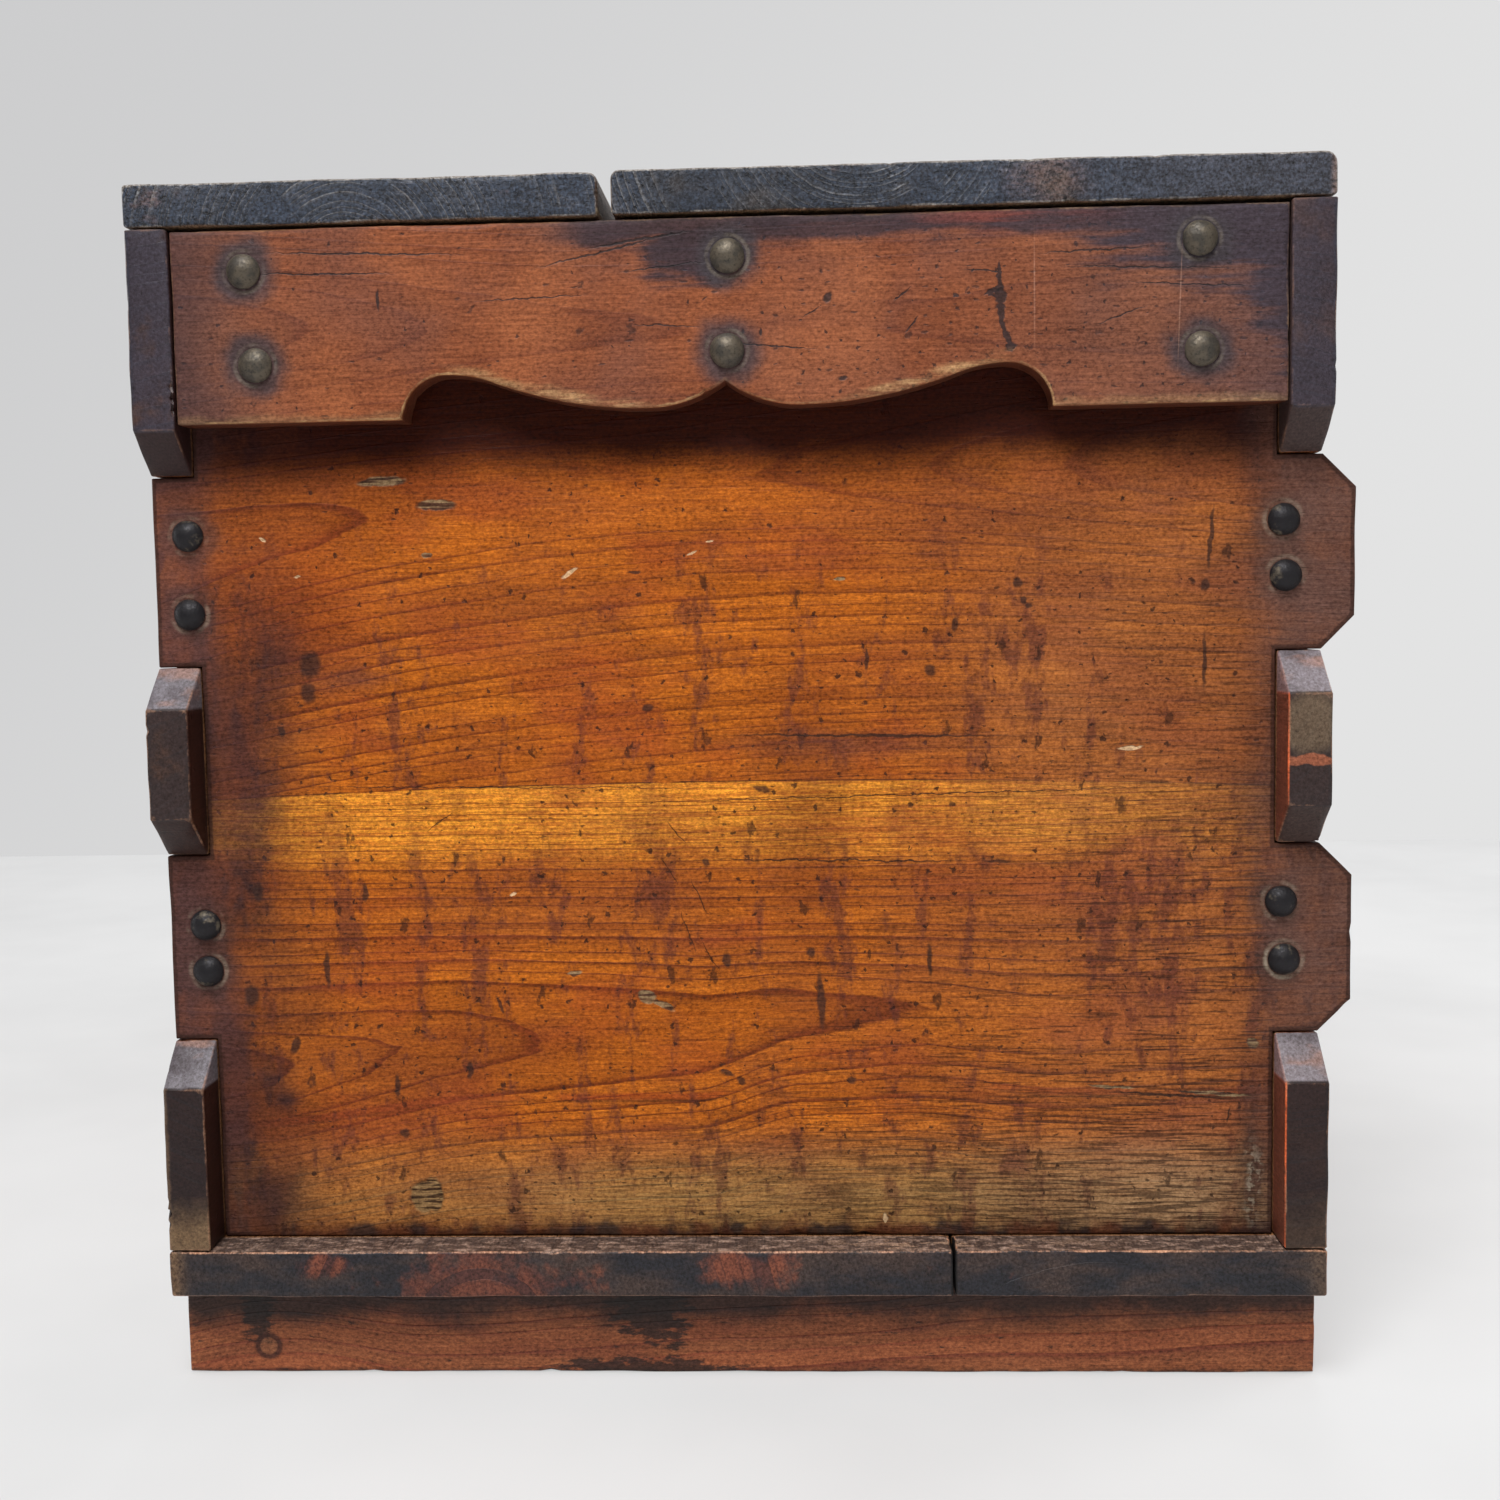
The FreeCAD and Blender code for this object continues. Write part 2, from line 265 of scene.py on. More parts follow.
def loft(rings: Array, arris: Array) -> Shell:
    """Closed shell through a stack of rings: quads between neighbours and a flat cap at each end.

    Args:
        rings: Points (rings, around, 3).
        arris: Worn-edge value of each point (rings, around).

    Returns:
        The shell.
    """
    count, around = rings.shape[:2]
    start = np.arange(count - 1)[:, None] * around
    here = np.arange(around)[None, :]
    after = (here + 1) % around
    quads = np.stack([start + here, start + after, start + after + around, start + here + around], -1)
    faces = quads.reshape(-1, 4).tolist()
    faces.append(list(range(around - 1, -1, -1)))
    faces.append(list(range((count - 1) * around, count * around)))
    return Shell(rings.reshape(-1, 3), faces, arris.reshape(-1))


def mesh_piece(name: str, shells: Sequence[Shell], crease: float = 38.0) -> bpy.types.Object:
    """Object at the origin that holds the shells, with outward normals and smooth edges.

    Args:
        name: Name of the piece.
        shells: Closed shells to hold.
        crease: Angle in degrees above which an edge stays sharp.

    Returns:
        The new object.
    """
    starts = np.cumsum([0] + [len(shell.points) for shell in shells])
    faces = [[i + start for i in face] for shell, start in zip(shells, starts) for face in shell.faces]
    mesh = bpy.data.meshes.new(name)
    mesh.from_pydata(np.concatenate([shell.points for shell in shells]), [], faces)
    worn = mesh.attributes.new("arris", "FLOAT", "POINT")
    worn.data.foreach_set("value", np.concatenate([shell.arris for shell in shells]).astype(np.float32))
    solid = bmesh.new()
    solid.from_mesh(mesh)
    bmesh.ops.remove_doubles(solid, verts=solid.verts, dist=2e-6)
    bmesh.ops.dissolve_degenerate(solid, edges=solid.edges, dist=1e-7)
    bmesh.ops.recalc_face_normals(solid, faces=solid.faces)
    solid.to_mesh(mesh)
    solid.free()
    mesh.shade_smooth()
    mesh.set_sharp_from_angle(angle=math.radians(crease))
    piece = bpy.data.objects.new(name, mesh)
    bpy.context.scene.collection.objects.link(piece)
    return piece


class Outline:
    """Closed outline of a board, resampled, with rounded corners and a rule for insetting it.

    Each straight run is cut at the wear's step, each convex corner becomes an arc, and a
    point inset by q moves along its own normal up to the corner radius and along the
    corner's mitre past it.
    """

    SHARP = math.radians(20)
    ARC_STEPS = 4

    def __init__(self, points: Places, wear: Wear) -> None:
        """Resamples the outline.

        Args:
            points: Corners in order, either way round.
            wear: Corner radius, step and band.
        """
        self.wear = wear
        corner = np.asarray(points, float)
        following = np.roll(corner, -1, 0)
        area = (corner[:, 0] * following[:, 1] - corner[:, 1] * following[:, 0]).sum() / 2
        self.corner = corner if area > 0 else corner[::-1]
        edge = np.roll(self.corner, -1, 0) - self.corner
        self.length = np.linalg.norm(edge, axis=1)
        self.along = edge / self.length[:, None]
        self.outward = np.stack([self.along[:, 1], -self.along[:, 0]], 1)
        self.before = np.roll(self.outward, 1, 0)
        straightness = (self.before * self.outward).sum(1)
        self.bisector = (self.before + self.outward) / (1 + straightness)[:, None]
        cross = self.before[:, 0] * self.outward[:, 1] - self.before[:, 1] * self.outward[:, 0]
        self.turn = np.arctan2(cross, straightness)
        self.radius = np.where(self.turn > self.SHARP, wear.corner, 0.0)
        runs, arcs = self._runs(), self._arcs()
        order = np.argsort(np.concatenate([runs[0], arcs[0]]), kind="stable")
        joined = [np.concatenate(pair)[order] for pair in zip(runs[1:], arcs[1:])]
        self.base, self.normal, self.mitre, self.edge_weight = joined

    def _runs(self) -> tuple:
        """Points on the straight runs, even between a short band beside each end.

        Returns:
            Sort key, place, normal, mitre and edge weight of each point.
        """
        band, radius, mitre = self.wear.band, self.radius, self.bisector
        trim = radius * np.tan(np.abs(self.turn) / 2)
        next_round = np.roll(radius, -1) > 0
        clear = self.length - trim - np.roll(trim, -1)
        long = clear > 3 * band
        inner = np.where(long, clear - 2 * band, clear)
        count = np.maximum(1, np.ceil(inner / self.wear.step).astype(int))
        first = np.concatenate([[0], np.cumsum(count + 1)[:-1]])
        index = np.repeat(np.arange(len(clear)), count + 1)
        place = np.where(long, band, 0.0)[index]
        place = place + inner[index] * (np.arange(len(index)) - first[index]) / count[index]
        tails = np.flatnonzero(long)
        index = np.concatenate([index, tails, tails])
        place = np.concatenate([place, np.zeros(len(tails)), clear[tails]])
        keep = next_round[index] | (place < clear[index] - 1e-9)
        index, place = index[keep], place[keep]
        share = (place + trim[index]) / self.length[index]
        after = (index + 1) % len(clear)
        is_start = (place < 1e-9) & (radius[index] == 0)
        to_start = np.where(radius[index] > 0, place, np.inf)
        to_end = np.where(next_round[index], clear[index] - place, np.inf)
        weight = np.clip(1 - np.minimum(to_start, to_end) / band, 0, 1)
        return (index + 0.9 * place / clear[index],
                self.corner[index] + self.along[index] * (place + trim[index])[:, None],
                np.where(is_start[:, None], mitre[index], self.outward[index]),
                mitre[index] * (1 - share)[:, None] + mitre[after] * share[:, None],
                weight)

    def _arcs(self) -> tuple:
        """Points inside each rounded corner: its centre plus the radius along a turning normal.

        Returns:
            Sort key, place, normal, mitre and edge weight of each point.
        """
        index = np.repeat(np.flatnonzero(self.radius > 0), self.ARC_STEPS - 1)
        share = np.tile(np.arange(1, self.ARC_STEPS) / self.ARC_STEPS, len(index) // (self.ARC_STEPS - 1))
        angle = self.turn[index] * share
        cos, sin = np.cos(angle), np.sin(angle)
        x, y = self.before[index].T
        radial = np.stack([x * cos - y * sin, x * sin + y * cos], 1)
        radius, mitre = self.radius[index][:, None], self.bisector[index]
        return (index - 0.1 + 0.1 * share, self.corner[index] - mitre * radius + radial * radius, radial,
                mitre, np.ones(len(index)))

    def inset(self, distance: Array) -> Array:
        """Places (rings, around, 2) of the outline moved inwards by distances (rings, around)."""
        near = np.minimum(distance, self.wear.corner)[..., None]
        return self.base - near * self.normal - (distance[..., None] - near) * self.mitre


def board_shell(points: Places, low: float, high: float, run: Run, wear: Wear) -> Shell:
    """Board made by carrying its outline from low to high, with eased and worn edges.

    The section across the thickness is a quarter circle at each face and a straight side
    between; where noise says so, points on an edge also move inwards, both ways.

    Args:
        points: Corners of the outline.
        low: Start of the run.
        high: End of the run.
        run: Direction of the run.
        wear: Edge sizes.

    Returns:
        The closed shell.
    """
    outline = Outline(points, wear)
    thickness = high - low - 2 * wear.skin
    band = min(wear.band, thickness * 0.3)
    turn = np.linspace(0, np.pi / 2, 5)
    inset = np.concatenate([[wear.band], wear.arris * (1 - np.sin(turn)), [0.0]])
    depth = np.concatenate([[0.0], wear.arris * (1 - np.cos(turn)), [band]])
    worn = np.concatenate([[0.0], np.full(len(turn), 1.0), [0.0]])
    worn[1] = worn[-2] = 0.8
    between = max(1, math.ceil((thickness - 2 * band) / wear.pitch))
    mid = band + (thickness - 2 * band) * np.arange(1, between) / between
    inset = np.concatenate([inset, np.zeros(len(mid)), inset[::-1]]) + wear.skin
    depth = np.concatenate([depth, mid, thickness - depth[::-1]])
    worn = np.concatenate([worn, np.zeros(len(mid)), worn[::-1]])
    inward = np.where(depth < thickness / 2, 1.0, -1.0)
    arris = np.maximum(worn[:, None], outline.edge_weight[None, :])
    arris[[0, -1]] = 0.0
    spots = np.empty(arris.shape + (3,))
    spots[..., list(run.plane)] = outline.base
    spots[..., run.carried] = low + depth[:, None]
    gentle = 0.5 + 0.5 * ripple(spots, 0.12, wear.seed)
    bite = np.clip(ripple(spots, wear.bite_size, wear.seed + 50) - 1.3, 0, 1)
    eaten = (wear.eaten * np.clip(gentle, 0, 1.4) + wear.bites * bite) * arris
    plane = outline.inset(inset[:, None] + eaten)
    rings = np.empty(arris.shape + (3,))
    rings[..., list(run.plane)] = plane
    shift = inward[:, None] * eaten * worn[:, None]
    rings[..., run.carried] = low + wear.skin + depth[:, None] + shift
    return loft(rings, arris)


def without_repeats(points: list[Place]) -> list[Place]:
    """A closed outline's points without those that repeat the point before."""
    return [point for i, point in enumerate(points) if point != points[i - 1]]


def rectangle(low: Place, high: Place) -> list[Place]:
    """Corners of an upright rectangle between two opposite corners."""
    return [low, (high[0], low[1]), high, (low[0], high[1])]


def node_points(node: str) -> Array:
    """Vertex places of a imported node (n, 3), in metres."""
    return np.array([vertex.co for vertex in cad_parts[node].data.vertices])


def nail_places(node: str, outward: Vector) -> list[Vector]:
    """Middle of each nail's outermost face, which is its crown or its flush head.

    Args:
        node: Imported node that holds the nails.
        outward: Direction that the heads face.

    Returns:
        One place for each nail.
    """
    points = node_points(node)
    reach = points @ np.array(outward)
    crowns = points[reach > reach.max() - CROWN_DEPTH]
    places = []
    while len(crowns):
        near = np.linalg.norm(crowns - crowns[0], axis=1) < HEAD_SPAN
        cluster = np.unique(np.round(crowns[near], 6), axis=0)
        places.append(Vector(cluster.mean(0)))
        crowns = crowns[~near]
    return places


@dataclass(frozen=True)
class Nail:
    """Hand-forged nail with a square tapered shank, in metres."""

    length: float
    shank: float = 3.4 * MM
    tip: float = 1.2 * MM
    around: int = 32

    def shank_rings(self, top: float) -> list[Ring]:
        """Radius and height of the rings down the square shank, which leaves the head at top."""
        square = 0.5 / np.abs([np.cos(self.angles()), np.sin(self.angles())]).max(0)
        return [(square * self.shank, np.full(self.around, top)),
                (square * (self.shank + self.tip) / 2, np.full(self.around, (top - self.length) / 2)),
                (square * self.tip, np.full(self.around, -self.length))]

    def angles(self) -> Array:
        """Even angles round the nail's axis."""
        return 2 * np.pi * (np.arange(self.around) + 0.5) / self.around

    def shell(self, rings: Sequence[Ring], place: Vector, outward: Vector) -> Shell:
        """Rings given as radius and height, set up on a place and turned to face outwards.

        Args:
            rings: Radius and height round each ring.
            place: Where height zero lies.
            outward: Direction of growing height.

        Returns:
            The closed shell.
        """
        angle = self.angles()
        turn = np.array(Vector((0, 0, 1)).rotation_difference(outward).to_matrix())
        local = np.stack([np.stack([r * np.cos(angle), r * np.sin(angle), h], -1) for r, h in rings])
        return loft(local @ turn.T + np.array(place), np.zeros(local.shape[:2]))


@dataclass(frozen=True)
class DomedStud(Nail):
    """Nail with a low dome, hammered to soft facets, on a short rim."""

    radius: float = 6.5 * MM
    height: float = 4.8 * MM
    rim: float = 0.9 * MM
    seat: float = 0.4 * MM
    facets: int = 9

    def head_rings(self, rng: np.random.Generator) -> list[Ring]:
        """Rings of the dome: the lower of a spherical cap and a few tilted hammer planes.

        Args:
            rng: Source of the facets' tilts.

        Returns:
            Rings from the crown down to the seat.
        """
        bulge = self.height - self.rim
        sphere = (self.radius ** 2 + bulge ** 2) / (2 * bulge)
        spread = math.asin(self.radius / sphere)
        angle = self.angles()
        heading = rng.uniform(0, 2 * np.pi, self.facets)
        tilt = rng.uniform(0.05, 0.85, self.facets) * spread
        lobes = 1 - 0.02 * np.clip(np.sin(angle * 3 + rng.uniform(0, 6)), 0, 1)
        rings = []
        for share in (0.06, 0.2, 0.35, 0.5, 0.64, 0.77, 0.88, 0.96, 1.0):
            out = sphere * math.sin(spread * share)
            cap = self.height - sphere * (1 - math.cos(spread * share))
            across = out * np.cos(angle[:, None] - heading)
            planes = self.height - sphere + sphere * 0.991 / np.cos(tilt) - across * np.tan(tilt)
            rings.append((out * lobes, np.minimum(cap, planes.min(1))))
        edge = self.radius * lobes
        rings.append((edge, np.full(self.around, self.rim * 0.45)))
        rings.append((edge * 0.975, np.full(self.around, -self.seat)))
        return rings

    def at(self, crown: Vector, outward: Vector, rng: np.random.Generator) -> Shell:
        """One stud whose crown is at a place, with its head outwards and its own hammer marks."""
        rings = self.head_rings(rng) + self.shank_rings(-self.seat)
        return self.shell(rings, crown - outward * self.height, outward)


@dataclass(frozen=True)
class FlushNail(Nail):
    """Nail whose square head is driven level with the board."""

    head: float = 6.5 * MM
    depth: float = 1.8 * MM

    def at(self, face: Vector, outward: Vector, rng: np.random.Generator) -> Shell:
        """One flush nail: a low pillow on a square with soft corners, then the shank.

        Args:
            face: Middle of the head's face.
            outward: Direction that the head faces.
            rng: Source of the head's uneven outline.

        Returns:
            The closed shell.
        """
        angle = self.angles() + rng.uniform(-0.15, 0.15)
        corner = (np.abs(np.cos(angle)) ** 6 + np.abs(np.sin(angle)) ** 6) ** (-1 / 6)
        square = corner * self.head / 2 * 0.94 * (1 + 0.03 * np.sin(2 * angle + rng.uniform(0, 6)))
        level = np.ones(self.around)
        rings = [(square * share, level * drop) for share, drop in
                 ((0.1, -0.02 * MM), (0.6, -0.04 * MM), (0.88, -0.1 * MM), (1.0, -0.3 * MM))]
        rings.append((square, level * -self.depth))
        return self.shell(rings + self.shank_rings(-self.depth), face, outward)


# Shader nodes


def linear(colour: Colour) -> Colour:
    """Linear colour, with an alpha of one, of a screen colour given as 0 to 255."""
    parts = [part / 255 for part in colour]
    return (*(part / 12.92 if part <= 0.04045 else ((part + 0.055) / 1.055) ** 2.4 for part in parts), 1)


class Graph:
    """Adds nodes to one node tree and joins them."""

    def __init__(self, tree: Tree) -> None:
        """Keeps the tree that nodes are added to."""
        self.tree = tree

    def feed(self, socket: Socket, value: Value) -> None:
        """Links a socket to another, or sets its constant.

        Args:
            socket: Input to feed.
            value: Output socket, constant or, for a colour, a screen colour as 0 to 255; None
                leaves the input as it is.
        """
        if isinstance(value, Socket):
            self.tree.links.new(value, socket)
        elif value is not None:
            is_screen = socket.type == "RGBA" and len(value) == 3
            socket.default_value = linear(value) if is_screen else value

    def add(self, kind: str, inputs: dict | None = None, **settings: object) -> bpy.types.Node:
        """Adds a node.

        Args:
            kind: Node class name after "ShaderNode".
            inputs: Values by input name or index.
            settings: Node properties.

        Returns:
            The node.
        """
        node = self.tree.nodes.new("ShaderNode" + kind)
        for name, setting in settings.items():
            setattr(node, name, setting)
        for name, value in (inputs or {}).items():
            self.feed(node.inputs[name], value)
        return node

    def math(self, operation: str, *values: Value, clamp: bool = False) -> Socket:
        """Result of a Math node."""
        inputs = dict(enumerate(values))
        return self.add("Math", inputs, operation=operation, use_clamp=clamp).outputs[0]

    def vector(self, operation: str, *values: Value) -> Socket:
        """Result of a Vector Math node."""
        inputs = {"Scale" if operation == "SCALE" and i else i: value for i, value in enumerate(values)}
        return self.add("VectorMath", inputs, operation=operation).outputs[
            "Value" if operation in ("LENGTH", "DISTANCE") else "Vector"]

    def split(self, value: Value) -> tuple[Socket, Socket, Socket]:
        """The three parts of a vector."""
        parts = self.add("SeparateXYZ", {0: value}).outputs
        return parts[0], parts[1], parts[2]

    def join(self, x: Value, y: Value, z: Value) -> Socket:
        """A vector from three parts."""
        return self.add("CombineXYZ", {0: x, 1: y, 2: z}).outputs[0]

    def step(self, value: Value, start: float, stop: float, low: float = 0.0,
             high: float = 1.0) -> Socket:
        """Smooth step that goes from low at start to high at stop, either way round."""
        ends = (start, stop, low, high) if start <= stop else (stop, start, high, low)
        return self.add("MapRange", dict(enumerate((value, *ends))),
                        interpolation_type="SMOOTHSTEP").outputs[0]

    def fold(self, operation: str, values: Sequence[Value]) -> Socket:
        """Result of a Math operation that takes in values one after another."""
        return reduce(partial(self.math, operation), values)

    def both(self, *masks: Value) -> Socket:
        """Product of masks."""
        return self.fold("MULTIPLY", masks)

    def most(self, *masks: Value) -> Socket:
        """Largest of masks."""
        return self.fold("MAXIMUM", masks)

    def plus(self, first: Value, second: Value) -> Socket:
        """Sum of two values."""
        return self.math("ADD", first, second)

    def minus(self, first: Value, second: Value) -> Socket:
        """The first value less the second."""
        return self.math("SUBTRACT", first, second)

    def inverse(self, mask: Value) -> Socket:
        """One less a mask."""
        return self.minus(1, mask)

    def size(self, value: Value) -> Socket:
        """A value without its sign."""
        return self.math("ABSOLUTE", value)

    def scaled(self, value: Value, factor: Value, shift: Value) -> Socket:
        """A value times a factor, plus a shift."""
        return self.math("MULTIPLY_ADD", value, factor, shift)

    def blend(self, base: Value, over: Value, mask: Value, mode: str = "MIX") -> Socket:
        """Colour laid over another by a mask."""
        inputs = {0: mask, 6: base, 7: over}
        return self.add("Mix", inputs, data_type="RGBA", blend_type=mode, clamp_factor=True).outputs[2]

    def noise(self, place: Value, scale: Value, detail: float = 2, rough: float = 0.5) -> Socket:
        """Grey value of a noise texture."""
        inputs = {"Vector": place, "Scale": scale, "Detail": detail, "Roughness": rough}
        return self.add("TexNoise", inputs).outputs[0]

    def stretched(self, place: Value, scales: Sequence[float], detail: float = 2.0,
                  rough: float = 0.5) -> Socket:
        """Grey noise at a place whose three parts are scaled one by one."""
        return self.noise(self.vector("MULTIPLY", place, scales), 1.0, detail, rough)

    def ramp(self, value: Value, stops: Places) -> Socket:
        """Grey value read from a curve of straight pieces.

        Args:
            value: Place on the curve.
            stops: The curve's corners as (place, height).

        Returns:
            The curve's height.
        """
        node = self.add("ValToRGB", {0: value})
        points = node.color_ramp.elements
        while len(points) < len(stops):
            points.new(0.5)
        for point, (place, height) in zip(points, stops):
            point.position = place
            point.color = (height, height, height, 1.0)
        return node.outputs[0]

    def use(self, group: Tree, **inputs: Value) -> bpy.types.Node:
        """Places a shared group and feeds its inputs."""
        return self.add("Group", inputs, node_tree=group)

    def shake(self, place: Value, scale: Value, detail: float, amount: Value) -> Socket:
        """Noise vector about zero, times an amount."""
        colour = self.add("TexNoise", {"Vector": place, "Scale": scale, "Detail": detail}).outputs["Color"]
        return self.vector("SCALE", self.vector("SUBTRACT", colour, (0.5, 0.5, 0.5)), amount)


class Effect(Graph):
    """Shared shader node group with named sockets."""

    def __init__(self, name: str, vectors: Sequence[str], floats: Sequence[str],
                 outputs: Sequence[str]) -> None:
        """Makes the group and its sockets.

        Args:
            name: Name of the group.
            vectors: Names of the vector inputs.
            floats: Names of the number inputs, which come after them.
            outputs: Names of the outputs, all numbers.
        """
        tree = bpy.data.node_groups.new(name, "ShaderNodeTree")
        super().__init__(tree)
        for names, way, kind in ((vectors, "INPUT", "Vector"), (floats, "INPUT", "Float"),
                                 (outputs, "OUTPUT", "Float")):
            for socket in names:
                tree.interface.new_socket(name=socket, in_out=way, socket_type="NodeSocket" + kind)
        self.given = tree.nodes.new("NodeGroupInput").outputs
        self.result = tree.nodes.new("NodeGroupOutput").inputs

    def put(self, name: str, value: Socket) -> None:
        """Sends a socket out of the group under a name."""
        self.tree.links.new(value, self.result[name])


@cache
def ring_effect() -> Tree:
    """Growth rings of a log: cylinders about a bowed pith line, with dark, sharp-edged latewood.

    Place is (along, across, deep) in millimetres. Pith is (crest, across, deep) and Bow is
    (lean, bow across, bow deep), the bows in tenths of a micrometre for a millimetre squared.

    Returns:
        The group, whose outputs are Late, Tone and Fibre, each 0 to 1.
    """
    g = Effect("Growth rings", ("Place", "Pith", "Bow"), ("Spacing", "Wander"), ("Late", "Tone", "Fibre"))
    place = g.given["Place"]
    along, across, deep = g.split(place)
    crest, pith_across, pith_deep = g.split(g.given["Pith"])
    lean, bow_across, bow_deep = g.split(g.given["Bow"])
    run = g.minus(along, crest)
    square = g.both(g.both(run, run), 0.0001)
    centre_across = g.plus(g.scaled(lean, run, pith_across), g.both(bow_across, square))
    centre_deep = g.scaled(bow_deep, square, pith_deep)
    slow = g.vector("MULTIPLY", place, (0.0042, 0.013, 0.013))
    drift = g.shake(slow, 1, 2, g.given["Wander"])
    off = g.vector("ADD", g.join(0, g.minus(across, centre_across), g.minus(deep, centre_deep)),
                   g.vector("MULTIPLY", drift, (0, 1, 1)))
    jitter = g.stretched(place, (0.03, 0.16, 0.16), 3)
    radius = g.scaled(jitter, 1.1, g.vector("LENGTH", off))
    phase = g.math("DIVIDE", radius, g.given["Spacing"])
    uneven = g.add("TexNoise", {"W": phase, "Scale": 0.45, "Detail": 1}, noise_dimensions="1D").outputs[0]
    phase = g.scaled(uneven, 2.6, phase)
    part = g.math("FRACT", phase)
    g.put("Late", g.ramp(part, [(0, 0), (0.55, 0.05), (0.8, 0.25), (0.91, 0.9), (0.97, 1), (1, 0)]))
    g.put("Tone",
          g.add("TexWhiteNoise", {"W": g.math("FLOOR", phase)}, noise_dimensions="1D").outputs["Value"])
    long = g.stretched(place, (0.02, 0.95, 0.95), 3, 0.65)
    short = g.stretched(place, (0.22, 1.9, 1.9), 2, 0.6)
    g.put("Fibre", g.scaled(short, 0.45, g.both(long, 0.55)))
    return g.tree


@cache
def worn_edge_effect() -> Tree:
    """Broken mask along a board's edges, from the piece's own arris attribute and noise.

    Returns:
        The group, whose output Worn is 0 to 1.
    """
    g = Effect("Worn edge", ("Place",), ("Reach", "Broken"), ("Worn",))
    arris = g.add("Attribute", attribute_name="arris", attribute_type="GEOMETRY").outputs["Fac"]
    patch = g.noise(g.given["Place"], 0.055, 3, 0.6)
    fine = g.noise(g.given["Place"], 0.7, 3, 0.65)
    chance = g.scaled(g.minus(patch, 0.5), g.given["Broken"], arris)
    chance = g.scaled(g.minus(fine, 0.5), 0.5, chance)
    edge = g.minus(1.25, g.given["Reach"])
    g.put("Worn", g.math("DIVIDE", g.minus(chance, edge), 0.22, clamp=True))
    return g.tree


@cache
def speck_effect() -> Tree:
    """Scattered ragged specks: a few cells of a flat cell pattern hold a spot each.

    Place is (across, up, 0) in millimetres on the face.

    Returns:
        The group, whose output Speck is 0 to 1.
    """
    g = Effect("Specks", ("Place",), ("Cell", "Share", "Size"), ("Speck",))
    shake = g.shake(g.given["Place"], 0.42, 3, g.scaled(g.given["Size"], 3.2, 0.8))
    place = g.vector("ADD", g.given["Place"], shake)
    scale = g.math("DIVIDE", 1, g.given["Cell"])
    cells = g.add("TexVoronoi", {"Vector": place, "Scale": scale}, voronoi_dimensions="2D").outputs
    random = g.split(cells["Color"])
    chosen = g.math("LESS_THAN", random[0], g.given["Share"])
    size = g.both(g.given["Size"], g.scaled(random[1], 0.8, 0.35), scale)
    ratio = g.math("DIVIDE", cells["Distance"], size)
    g.put("Speck", g.both(g.step(ratio, 1.15, 0.5), chosen))
    return g.tree


@cache
def mark_effect() -> Tree:
    """One blot or mark on a flat face: a leaning ellipse in the face's own two directions.

    Place is (across, up, 0) in millimetres, already roughened.

    Returns:
        The group, whose output Mark is 0 to 1.
    """
    g = Effect("Mark", ("Place", "Middle", "Half"), ("Lean", "Soft"), ("Mark",))
    turned = g.add("VectorRotate",
                   {"Vector": g.given["Place"], "Center": g.given["Middle"], "Angle": g.given["Lean"]},
                   rotation_type="Z_AXIS").outputs[0]
    away = g.vector("DIVIDE", g.vector("SUBTRACT", turned, g.given["Middle"]), g.given["Half"])
    distance = g.vector("LENGTH", away)
    fade = g.add("MapRange", {0: distance, 1: g.inverse(g.given["Soft"]), 2: 1, 3: 1, 4: 0},
                 interpolation_type="SMOOTHSTEP")
    g.put("Mark", fade.outputs[0])
    return g.tree


@cache
def weave_effect() -> Tree:
    """Uneven shade of old timber: short streaks, grit and broad mottling, as a level about one.

    Place is (along, across, deep) in millimetres.

    Returns:
        The group, whose output Level multiplies a colour.
    """
    g = Effect("Weave", ("Place",), ("Grit",), ("Level",))
    place = g.given["Place"]
    streak = g.stretched(place, (0.05, 1, 1), 2, 0.6)
    grit = g.both(g.minus(g.stretched(place, (0.55, 0.8, 0.8), 3, 0.75), 0.5), g.given["Grit"])
    broad = g.stretched(place, (0.02, 0.05, 0.05), 3, 0.6)
    level = g.scaled(streak, 0.7, 0.35)
    level = g.scaled(broad, 0.6, g.plus(grit, level))
    g.put("Level", g.math("MAXIMUM", level, 0.05))
    return g.tree


@cache
def weathering_effect() -> Tree:
    """Dull smudges that hang in upright columns, and short dark dashes along the grain.

    Place is (along, up, deep) in millimetres. Crowd makes the dashes denser.

    Returns:
        The group, whose outputs Smudge and Dashes are 0 to 1.
    """
    g = Effect("Weathering", ("Place",), ("Crowd",), ("Smudge", "Dashes"))
    place = g.given["Place"]
    columns = g.stretched(place, (0.06, 0.008, 0.045), 2)
    blots = g.stretched(place, (0.16, 0.07, 0.1), 4, 0.65)
    g.put("Smudge", g.step(g.scaled(columns, 0.9, blots), 0.98, 1.16))
    dashes = g.stretched(place, (0.045, 0.8, 0.8), 2)
    g.put("Dashes", g.step(g.plus(dashes, g.given["Crowd"]), 0.56, 0.63))
    return g.tree


@dataclass(frozen=True)
class Trunk:
    """Where a board lay in its tree's trunk, in millimetres of the board's own directions."""

    crest: float
    across: float
    deep: float
    lean: float = 0.0
    bow_across: float = 0.0
    bow_deep: float = 0.0
    spacing: float = 5.0
    wander: float = 14.0


@dataclass(frozen=True)
class Mark:
    """A blot, chip or stain on a face: its middle, half sizes (mm) and lean (degrees)."""

    across: float
    up: float
    half_wide: float
    half_high: float
    lean: float = 0.0


@dataclass(frozen=True)
class Tones:
    """Colours of one timber: springwood, latewood, grime in its pores and its worn arrises."""

    spring: tuple
    late: tuple
    grime: tuple
    worn: tuple


class Grain(Enum):
    """Order in which (along, across, deep) reads a place's X, Y and Z."""

    END_PANEL = (0, 2, 1)
    TOP = (1, 0, 2)
    SIDE = (1, 2, 0)


